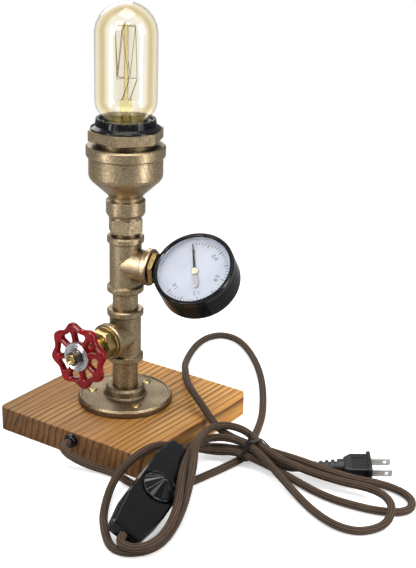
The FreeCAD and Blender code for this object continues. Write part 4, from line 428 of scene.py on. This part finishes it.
def cast_metal(name, dark, middle, light, roughness=0.36, grain=0.10 * MM):
    """Aged cast or drawn brass: blotchy tone, dark speckle, pits, painted shade and grime in
    corners.
    """
    look = Shader(name)
    large = look.noise(30.0, 4.0, 0.55)
    fine = look.noise(1100.0, 4.0, 0.7)
    speck = look.noise(1000.0, 3.0, 0.75)
    tone = look.math("ADD", look.math("MULTIPLY", large, 0.22),
                     look.math("MULTIPLY", speck, 0.78))
    colour = look.ramp(tone, (0.36, dark), (0.50, middle), (0.64, light))
    pits = look.voronoi(1400.0)
    pit_share = look.ramp(pits, (0.10, 0.45), (0.30, 0.0))
    colour = look.mix(pit_share, colour, tuple(value * 0.5 for value in dark))
    # Painted shade with grime: ambient occlusion darkens the colour in corners and between parts.
    crevice = look.node("ShaderNodeAmbientOcclusion", samples=6)
    crevice.inputs["Distance"].default_value = CREVICE_DEPTH
    grime_and_shade = look.ramp(crevice.outputs["AO"],
                      (0.25, (0.10, 0.085, 0.07)), (0.90, (1.0, 1.0, 1.0)))
    colour = look.mix(1.0, colour, grime_and_shade, blend="MULTIPLY")
    wear = look.math("ADD", look.math("MULTIPLY", fine, 0.5), look.math("MULTIPLY", large, 0.5))
    rough = look.ramp(wear, (0.38, roughness + 0.14), (0.60, roughness - 0.08))
    hollows = look.math("MULTIPLY", look.math("MINIMUM", pits, 0.4), 1.5)
    normal = look.bump(look.math("ADD", fine, hollows), grain, 0.6, look.soft_edges(0.35 * MM))
    look.set(Base_Color=colour, Metallic=1.0, Roughness=rough, Normal=normal)
    return look.material


def pine():
    """Burnt pine: golden early and dark late wood in lines along X, with a stain and painted shade
    across it.
    """
    look = Shader("pine")
    lengthwise, across, height = look.split(look.place)
    wander = look.noise(1.0, 2.0, 0.5, look.mapped((3.0, 9.0, 6.0)))
    uneven = look.noise(1.0, 3.0, 0.6, look.mapped((0.8, 95.0, 20.0)))
    depth = look.math("ADD", look.math("MULTIPLY", across, WOOD_RINGS[0]),
                      look.math("MULTIPLY", height, WOOD_RINGS[1]))
    spread = look.math("ADD", depth, look.math("MULTIPLY", wander, 3.0))
    spread = look.math("ADD", spread, look.math("MULTIPLY", uneven, 1.6))
    ring = look.math("FRACT", spread)
    late = look.ramp(ring, (0.0, 0.0), (0.45, 0.03), (0.74, 0.55), (0.90, 1.0), (0.96, 0.9),
                     (1.0, 0.0))
    fibre = look.noise(1.0, 6.0, 0.7, look.mapped((26.0, 1100.0, 900.0)))
    patch = look.noise(1.0, 3.0, 0.5, look.mapped((7.0, 60.0, 30.0)))
    early = look.ramp(fibre, (0.36, (0.38, 0.160, 0.032)), (0.5, (0.56, 0.272, 0.064)),
                      (0.64, (0.71, 0.385, 0.108)))
    patches = look.ramp(patch, (0.38, (0.33, 0.130, 0.030)), (0.62, (0.66, 0.35, 0.10)))
    early = look.mix(0.45, early, patches)
    burnt = look.ramp(fibre, (0.3, (0.060, 0.022, 0.008)), (0.7, (0.20, 0.085, 0.028)))
    strength = look.math("MULTIPLY", late, look.ramp(patch, (0.30, 0.35), (0.55, 1.0)))
    colour = look.mix(strength, early, burnt)

    outward = look.split(look.node("ShaderNodeNewGeometry").outputs["Normal"])[0]
    end_grain = look.ramp(look.math("ABSOLUTE", outward), (0.6, 0.0), (0.8, 1.0))
    pores = look.noise(1.0, 3.0, 0.7, look.mapped((300.0, 900.0, 900.0)))
    end_look = look.ramp(pores, (0.36, (0.125, 0.050, 0.015)), (0.64, (0.295, 0.135, 0.040)))
    end_look = look.mix(look.math("MULTIPLY", late, 0.85), end_look, (0.045, 0.020, 0.010))
    colour = look.mix(look.math("MULTIPLY", end_grain, 0.85), colour, end_look)

    # Stain and painted shade: darker towards -X and +Y and lighter towards +X and -Y, so the left
    # end face comes out shaded.
    sideways = look.math("SUBTRACT", lengthwise, across)
    stain_and_shade = look.math("ADD", look.math("MULTIPLY", sideways, STAIN_AND_SHADE_SLOPE), STAIN_AND_SHADE_MIDDLE)
    colour = look.mix(1.0, colour, stain_and_shade, blend="MULTIPLY")
    rough = look.ramp(fibre, (0.3, 0.46), (0.7, 0.60))
    relief = look.math("ADD", look.math("MULTIPLY", late, 0.7), look.math("MULTIPLY", fibre, 0.35))
    look.set(Base_Color=colour, Roughness=rough, Normal=look.bump(relief, 0.30 * MM, 0.7),
             Specular_IOR_Level=0.25)
    return look.material


def plastic(name, colour, roughness, grain, strength, gloss=0.5, edge=0.4 * MM):
    """Moulded plastic, rubber or black paint: a fine grain, and a tone that drifts."""
    look = Shader(name)
    fine = look.noise(700.0, 3.0)
    broad = look.noise(45.0, 3.0)
    lighter = tuple(min(1.0, value * 1.35 + 0.002) for value in colour)
    look.set(Base_Color=look.ramp(broad, (0.35, colour), (0.7, lighter)),
             Roughness=look.ramp(fine, (0.3, roughness - 0.04), (0.7, roughness + 0.06)),
             Normal=look.bump(fine, grain, strength, look.soft_edges(edge)),
             Specular_IOR_Level=gloss)
    return look.material


def enamel():
    """Thick glossy red lacquer over a rough casting."""
    look = Shader("red_enamel")
    pool = look.noise(90.0, 3.0)
    wave = look.noise(160.0, 2.0)
    look.set(Base_Color=look.ramp(pool, (0.35, (0.13, 0.001, 0.003)), (0.65, (0.27, 0.002, 0.006))),
             Roughness=look.ramp(wave, (0.3, 0.08), (0.7, 0.14)),
             Normal=look.bump(wave, 0.35 * MM, 0.5, look.soft_edges(0.9 * MM)),
             Specular_IOR_Level=0.35)
    return look.material


def bright_metal(name, colour, roughness, turned=False):
    """Plated or drawn metal with fine brushing, or with turned rings about the tap's axis."""
    look = Shader(name)
    fine = look.noise(1200.0, 3.0, 0.6)
    height, depth = fine, 0.03 * MM
    if turned:
        _, across, up = look.split(look.place)
        radius = look.length(across, look.math("ADD", up, -TAP_HEIGHT * MM))
        rings = look.math("MULTIPLY", radius, 2 * math.pi / (RING_PITCH * MM))
        height, depth = look.math("SINE", rings), 0.12 * MM
    tone = look.noise(80.0, 3.0)
    darker = tuple(value * 0.75 for value in colour)
    look.set(Base_Color=look.ramp(tone, (0.3, darker), (0.65, colour)), Metallic=1.0,
             Roughness=look.ramp(fine, (0.3, roughness), (0.7, roughness + 0.12)),
             Normal=look.bump(height, depth, 0.7, look.soft_edges(0.2 * MM)))
    return look.material


def glass_tint(look, *stops):
    """Tint that changes from the glass's middle to its edges, with faint upright streaks."""
    weight = look.node("ShaderNodeLayerWeight")
    weight.inputs["Blend"].default_value = 0.5
    streak = look.noise(1.0, 2.0, 0.5, look.mapped((110.0, 110.0, 3.0)))
    shift = look.math("MULTIPLY", look.math("ADD", streak, -0.5), 0.16)
    return look.ramp(look.math("ADD", weight.outputs["Facing"], shift), *stops)


def glass(name, *stops):
    """Smooth glass, clear or tinted."""
    look = Shader(name)
    look.set(Base_Color=glass_tint(look, *stops), Roughness=0.0, IOR=GLASS_IOR,
             Transmission_Weight=1.0)
    return look.material


def bulb_glass():
    """The bulb: clear in front, painted amber reflection bands beside the edges, a painted
    yellow-green reflection at its collar.
    """
    look = Shader("amber_glass")
    # Painted reflection: amber bands beside the edges, from how squarely the glass faces the
    # camera.
    tint = glass_tint(look, (0.0, (0.90, 0.87, 0.78)), (0.10, (0.98, 0.96, 0.88)),
                      (0.22, (0.97, 0.94, 0.83)), (0.33, (0.70, 0.57, 0.33)),
                      (0.46, (0.76, 0.64, 0.40)), (0.58, (0.95, 0.92, 0.82)),
                      (0.92, (0.88, 0.84, 0.70)))
    # Painted reflection: yellow-green and less clear glass low at the collar.
    clearness = look.node("ShaderNodeMapRange")
    clearness.inputs["From Min"].default_value = BULB_COLLAR_LOW * MM
    clearness.inputs["From Max"].default_value = BULB_COLLAR_HIGH * MM
    clearness.inputs["To Min"].default_value = 0.20
    look.link(look.split(look.place)[2], clearness.inputs["Value"])
    clear = clearness.outputs["Result"]
    collar = look.ramp(clear, (0.30, (0.72, 0.70, 0.07)), (0.95, (1.0, 1.0, 1.0)))
    look.set(Base_Color=look.mix(1.0, tint, collar, blend="MULTIPLY"), Roughness=0.0,
             IOR=GLASS_IOR, Transmission_Weight=clear)
    return look.material


def dial_face():
    """White dial with a slight bluish drift."""
    look = Shader("dial_white")
    grain = look.noise(500.0, 3.0)
    tone = look.noise(40.0, 2.0)
    look.set(Base_Color=look.ramp(tone, (0.3, (0.53, 0.56, 0.65)), (0.7, (0.60, 0.63, 0.71))),
             Roughness=look.ramp(grain, (0.3, 0.5), (0.7, 0.62)))
    return look.material


def laminate():
    """Green circuit board with lighter tracks."""
    look = Shader("circuit_green")
    tracks = look.voronoi(260.0)
    look.set(Base_Color=look.ramp(tracks, (0.15, (0.20, 0.13, 0.05)), (0.25, (0.015, 0.10, 0.045))),
             Roughness=0.4, Normal=look.bump(tracks, 0.1 * MM, 0.3))
    return look.material


def pointer_paint():
    """Dark needle, pale tail and a cream hub, told apart by the place at the pointer's rest."""
    look = Shader("pointer_paint")
    ahead = dial_direction(POINTER_ZERO)
    offset = look.node("ShaderNodeVectorMath", operation="SUBTRACT")
    look.link(look.place, offset.inputs[0])
    offset.inputs[1].default_value = GAUGE_CENTRE
    parts = []
    for axis in (ahead, ahead.cross(GAUGE_NORMAL)):
        part = look.node("ShaderNodeVectorMath", operation="DOT_PRODUCT")
        look.link(offset.outputs["Vector"], part.inputs[0])
        part.inputs[1].default_value = axis
        parts.append(part.outputs["Value"])
    grain = look.noise(600.0, 3.0)
    needle = look.ramp(grain, (0.3, (0.006, 0.005, 0.005)), (0.7, (0.016, 0.013, 0.011)))
    tail = look.ramp(grain, (0.3, (0.40, 0.39, 0.40)), (0.7, (0.50, 0.49, 0.50)))
    hub = look.ramp(grain, (0.3, (0.72, 0.66, 0.47)), (0.7, (0.80, 0.75, 0.56)))
    paint = look.mix(look.math("GREATER_THAN", parts[0], 0.0), tail, needle)
    on_hub = look.math("LESS_THAN", look.length(*parts), HUB_RADIUS * MM)
    look.set(Base_Color=look.mix(on_hub, paint, hub),
             Roughness=look.ramp(grain, (0.3, 0.32), (0.7, 0.42)),
             Normal=look.bump(grain, 0.02 * MM, 0.4))
    return look.material


def dial_ink():
    """Dark printed marks."""
    look = Shader("dial_ink")
    tone = look.noise(300.0, 2.0)
    look.set(Base_Color=look.ramp(tone, (0.3, (0.018, 0.02, 0.03)), (0.7, (0.035, 0.04, 0.05))),
             Roughness=0.5)
    return look.material


LOOKS = {
    "pine": pine(),
    "antique_bronze": cast_metal("antique_bronze", (0.15, 0.107, 0.062), (0.41, 0.315, 0.193),
                                 (0.66, 0.525, 0.340)),
    "brass": cast_metal("brass", (0.42, 0.30, 0.11), (0.60, 0.45, 0.19), (0.74, 0.58, 0.28),
                        roughness=0.26, grain=0.03 * MM),
    "red_enamel": enamel(),
    "bright_steel": bright_metal("bright_steel", (0.78, 0.78, 0.80), 0.16, turned=True),
    "dark_nut": bright_metal("dark_nut", (0.10, 0.08, 0.065), 0.3),
    "black_steel": plastic("black_steel", (0.003, 0.003, 0.004), roughness=0.09, grain=0.03 * MM,
                           strength=0.3, gloss=0.36, edge=0.7 * MM),
    "dial_white": dial_face(),
    "clear_glass": glass("clear_glass", (0.2, (1.0, 1.0, 1.0)), (0.6, (0.97, 0.98, 1.0)),
                         (0.9, (0.92, 0.95, 0.98))),
    "amber_glass": bulb_glass(),
    "inner_glass": glass("inner_glass", (0.05, (0.95, 0.86, 0.50)), (0.3, (0.62, 0.48, 0.16)),
                         (0.8, (0.26, 0.18, 0.04))),
    "filament_wire": bright_metal("filament_wire", (0.30, 0.20, 0.07), 0.35),
    "black_plastic": plastic("black_plastic", (0.003, 0.003, 0.005), roughness=0.13,
                             grain=0.02 * MM, strength=0.3, gloss=0.30, edge=0.6 * MM),
    "gloss_black_plastic": plastic("gloss_black_plastic", (0.003, 0.003, 0.004), roughness=0.08,
                                   grain=0.01 * MM, strength=0.3, gloss=0.46, edge=0.9 * MM),
    "rubber_black": plastic("rubber_black", (0.006, 0.006, 0.007), roughness=0.36,
                            grain=0.04 * MM, strength=0.5),
    "cord_braid": BRAID,
    "wire_insulation": plastic("wire_insulation", (0.20, 0.07, 0.02), roughness=0.4,
                               grain=0.02 * MM, strength=0.3),
    "circuit_green": laminate(),
    "nickel_blade": bright_metal("nickel_blade", (0.86, 0.84, 0.80), 0.42),
    "tie_black": plastic("tie_black", (0.012, 0.012, 0.013), roughness=0.35, grain=0.03 * MM,
                         strength=0.4),
}
OWN_LOOKS = {                     # nodes that differ from the rest of their slot
    "floor_flange": cast_metal("flange_bronze", (0.060, 0.042, 0.024), (0.23, 0.172, 0.105),
                               (0.42, 0.330, 0.210), roughness=0.40, grain=0.22 * MM),
    "gauge_case": plastic("gauge_case_black", (0.003, 0.003, 0.004), roughness=0.10,
                          grain=0.03 * MM, strength=0.3, gloss=0.12),
    "gauge_pointer": pointer_paint(),
}


def dress_nodes():
    """Give each CAD node its material."""
    for row in frame["record"]["subparts"]:
        name = row["node"]
        materials = NODES[name].data.materials
        materials.clear()
        materials.append(OWN_LOOKS.get(name) or LOOKS[row["material_slot"]])


dress_nodes()


# ================================================================ marks on the dial
INK = dial_ink()
INK_HEIGHT = 0.06                 # of the marks above the dial
TICK_COUNT = 41
TICK_STEP = 6.0
LONG_TICK_EVERY = 5
LONG_TICK = (23.6, 0.34)          # inner radius and half width
SHORT_TICK = (25.2, 0.23)
TICK_OUTER_RADIUS = 27.4
NUMBERS = ("0", "0.4", "0.8", "1.2", "1.6")
NUMBER_STEP = 60.0
NUMBER_RADIUS = 19.5
NUMBER_SIZE = 5.0


def dial_place(radius, clockwise):
    """Place of the ink at a radius in mm and an angle clockwise of the top."""
    middle = GAUGE_CENTRE - GAUGE_NORMAL * (DIAL_DEPTH * MM - INK_HEIGHT * MM)
    return middle + dial_direction(clockwise) * (radius * MM)


def dial_ticks():
    """Short and long marks round the scale, as one piece."""
    mesh = bmesh.new()
    for index in range(TICK_COUNT):
        clockwise = POINTER_ZERO + TICK_STEP * index
        inner, half = SHORT_TICK if index % LONG_TICK_EVERY else LONG_TICK
        angle = math.radians(clockwise)
        across = GAUGE_RIGHT * math.cos(angle) - GAUGE_TOP * math.sin(angle)
        corners = []
        for radius, side in ((inner, -1), (TICK_OUTER_RADIUS, -1), (TICK_OUTER_RADIUS, 1),
                             (inner, 1)):
            place = dial_place(radius, clockwise) + across * (half * MM) * side
            corners.append(mesh.verts.new(place))
        mesh.faces.new(corners)
    made = finished("dial_ticks", mesh)
    made.data.materials.append(INK)
    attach(made, "lamp")


def dial_number(text, clockwise):
    """A flat number that stands upright on its radius."""
    data = bpy.data.curves.new("number", "FONT")
    data.body = text
    data.size = NUMBER_SIZE * MM
    data.align_x = "CENTER"
    data.align_y = "CENTER"
    word = bpy.data.objects.new("number", data)
    mesh = bpy.data.meshes.new_from_object(word)
    bpy.data.objects.remove(word)
    outward = dial_direction(clockwise)
    axes = Matrix((outward.cross(GAUGE_NORMAL), outward, GAUGE_NORMAL)).transposed().to_4x4()
    mesh.transform(Matrix.Translation(dial_place(NUMBER_RADIUS, clockwise)) @ axes)
    mesh.name = "dial_number_" + text.replace(".", "_")
    made = bpy.data.objects.new(mesh.name, mesh)
    bpy.context.scene.collection.objects.link(made)
    made.data.materials.append(INK)
    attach(made, "lamp")


dial_ticks()
for step, number in enumerate(NUMBERS):
    dial_number(number, POINTER_ZERO + NUMBER_STEP * step)


# ================================================================ light and floor
ROOM_STRENGTH = 0.38
FLOOR_SIZE = 8.0
FLOOR_LEVEL = -0.2 * MM
FLOOR_GLOW = 0.48                 # lifts the floor round the object, beside the lamps' light
PURE_WHITE = (0.32, 0.60)         # distances between which the floor fades into plain white
MIRRORED_SHARE = 0.60             # share of the dim floor that reflections see
MIRRORED_GLOW = 0.10
# name, place, target, width, height, power, and whether the lamp shows only in reflections
LAMPS = (
    ("key", (-1.3, -0.2, 1.3), (0, 0, 0.12), 0.7, 1.0, 5.5, False),
    ("fill", (0.3, -1.6, 0.9), (0, 0, 0.12), 0.6, 1.1, 7.0, False),
    ("back", (0.9, 1.1, 1.0), (0, 0, 0.15), 1.0, 0.8, 8.0, False),
    ("top", (0.0, -0.1, 2.0), (0, -0.05, 0), 1.2, 1.2, 19.0, False),
    ("right strip", (0.05, -0.62, 0.36), (0, 0, 0.30), 0.10, 0.66, 1.5, False),
    ("gloss left", (-0.95, 0.10, 0.75), (0, 0, 0.18), 0.16, 0.9, 8.0, True),
    ("gloss right", (-0.02, -1.00, 0.60), (0, 0, 0.18), 0.12, 0.8, 5.0, True),
    ("gloss front", (-1.00, -0.95, 1.75), (0, 0, 0.10), 0.34, 0.16, 9.0, True),
    ("left strip", (-0.58, 0.22, 0.36), (0, 0, 0.30), 0.10, 0.66, 1.5, False),
)


def seen_directly(nodes, path):
    """1 for rays from the camera or through glass."""
    return nodes.math("MAXIMUM", path.outputs["Is Camera Ray"],
                      path.outputs["Is Transmission Ray"])


def world():
    """White for the camera and through glass; a soft graded room as light and in reflections."""
    made = bpy.data.worlds.new("room")
    bpy.context.scene.world = made
    made.use_nodes = True
    made.node_tree.nodes.clear()
    nodes = Nodes(made.node_tree)
    up = nodes.split(nodes.node("ShaderNodeTexCoord").outputs["Generated"])[2]
    room = nodes.node("ShaderNodeBackground")
    room.inputs["Strength"].default_value = ROOM_STRENGTH
    grade = nodes.ramp(nodes.math("MULTIPLY_ADD", up, 0.5, 0.5),
                       (0.35, (0.16, 0.16, 0.17)), (0.95, (1.0, 1.0, 1.0)))
    nodes.link(grade, room.inputs["Color"])
    white = nodes.node("ShaderNodeBackground")
    white.inputs["Color"].default_value = (1.0, 1.0, 1.0, 1.0)
    white.inputs["Strength"].default_value = 1.0
    seen = seen_directly(nodes, nodes.node("ShaderNodeLightPath"))
    both = nodes.mix_shaders(seen, room.outputs["Background"], white.outputs["Background"])
    nodes.link(both, nodes.node("ShaderNodeOutputWorld").inputs["Surface"])


def softbox(name, place, target, width, height, power, gloss_only):
    """Rectangular lamp that faces its target."""
    data = bpy.data.lights.new(name, "AREA")
    data.shape = "RECTANGLE"
    data.size = width
    data.size_y = height
    data.energy = power
    light = bpy.data.objects.new(name, data)
    light.location = place
    light.visible_diffuse = light.visible_transmission = not gloss_only
    aim = Vector(target) - Vector(place)
    light.rotation_euler = aim.to_track_quat("-Z", "Y").to_euler()
    bpy.context.scene.collection.objects.link(light)


def floor():
    """Wide pale floor, white away from the contact shadows and dim in reflections."""
    bpy.ops.mesh.primitive_plane_add(size=FLOOR_SIZE, location=(0, 0, FLOOR_LEVEL))
    made = bpy.context.object
    made.name = "floor"
    look = Shader("floor")
    look.set(Base_Color=look.ramp(look.noise(2.0, 2.0), (0.3, 0.90), (0.7, 0.92)), Roughness=0.9,
             Specular_IOR_Level=0.1)
    matt = look.bsdf.outputs["BSDF"]
    path = look.node("ShaderNodeLightPath")
    lit = look.node("ShaderNodeAddShader")
    look.link(matt, lit.inputs[0])
    look.link(look.emission(FLOOR_GLOW), lit.inputs[1])
    x, y, _ = look.split(look.place)
    away = look.ramp(look.length(x, y), (PURE_WHITE[0], 0.0), (PURE_WHITE[1], 1.0))
    shown = look.mix_shaders(away, lit.outputs["Shader"], look.emission(1.0))
    dim = look.math("MULTIPLY", path.outputs["Is Glossy Ray"], MIRRORED_SHARE)
    mirrored = look.mix_shaders(dim, matt, look.emission(MIRRORED_GLOW))
    look.link(look.mix_shaders(seen_directly(look, path), mirrored, shown),
              look.output.inputs["Surface"])
    made.data.materials.append(look.material)


world()
for lamp in LAMPS:
    softbox(*lamp)
floor()
bpy.context.scene.view_settings.view_transform = "Standard"
bpy.context.scene.view_settings.look = "None"
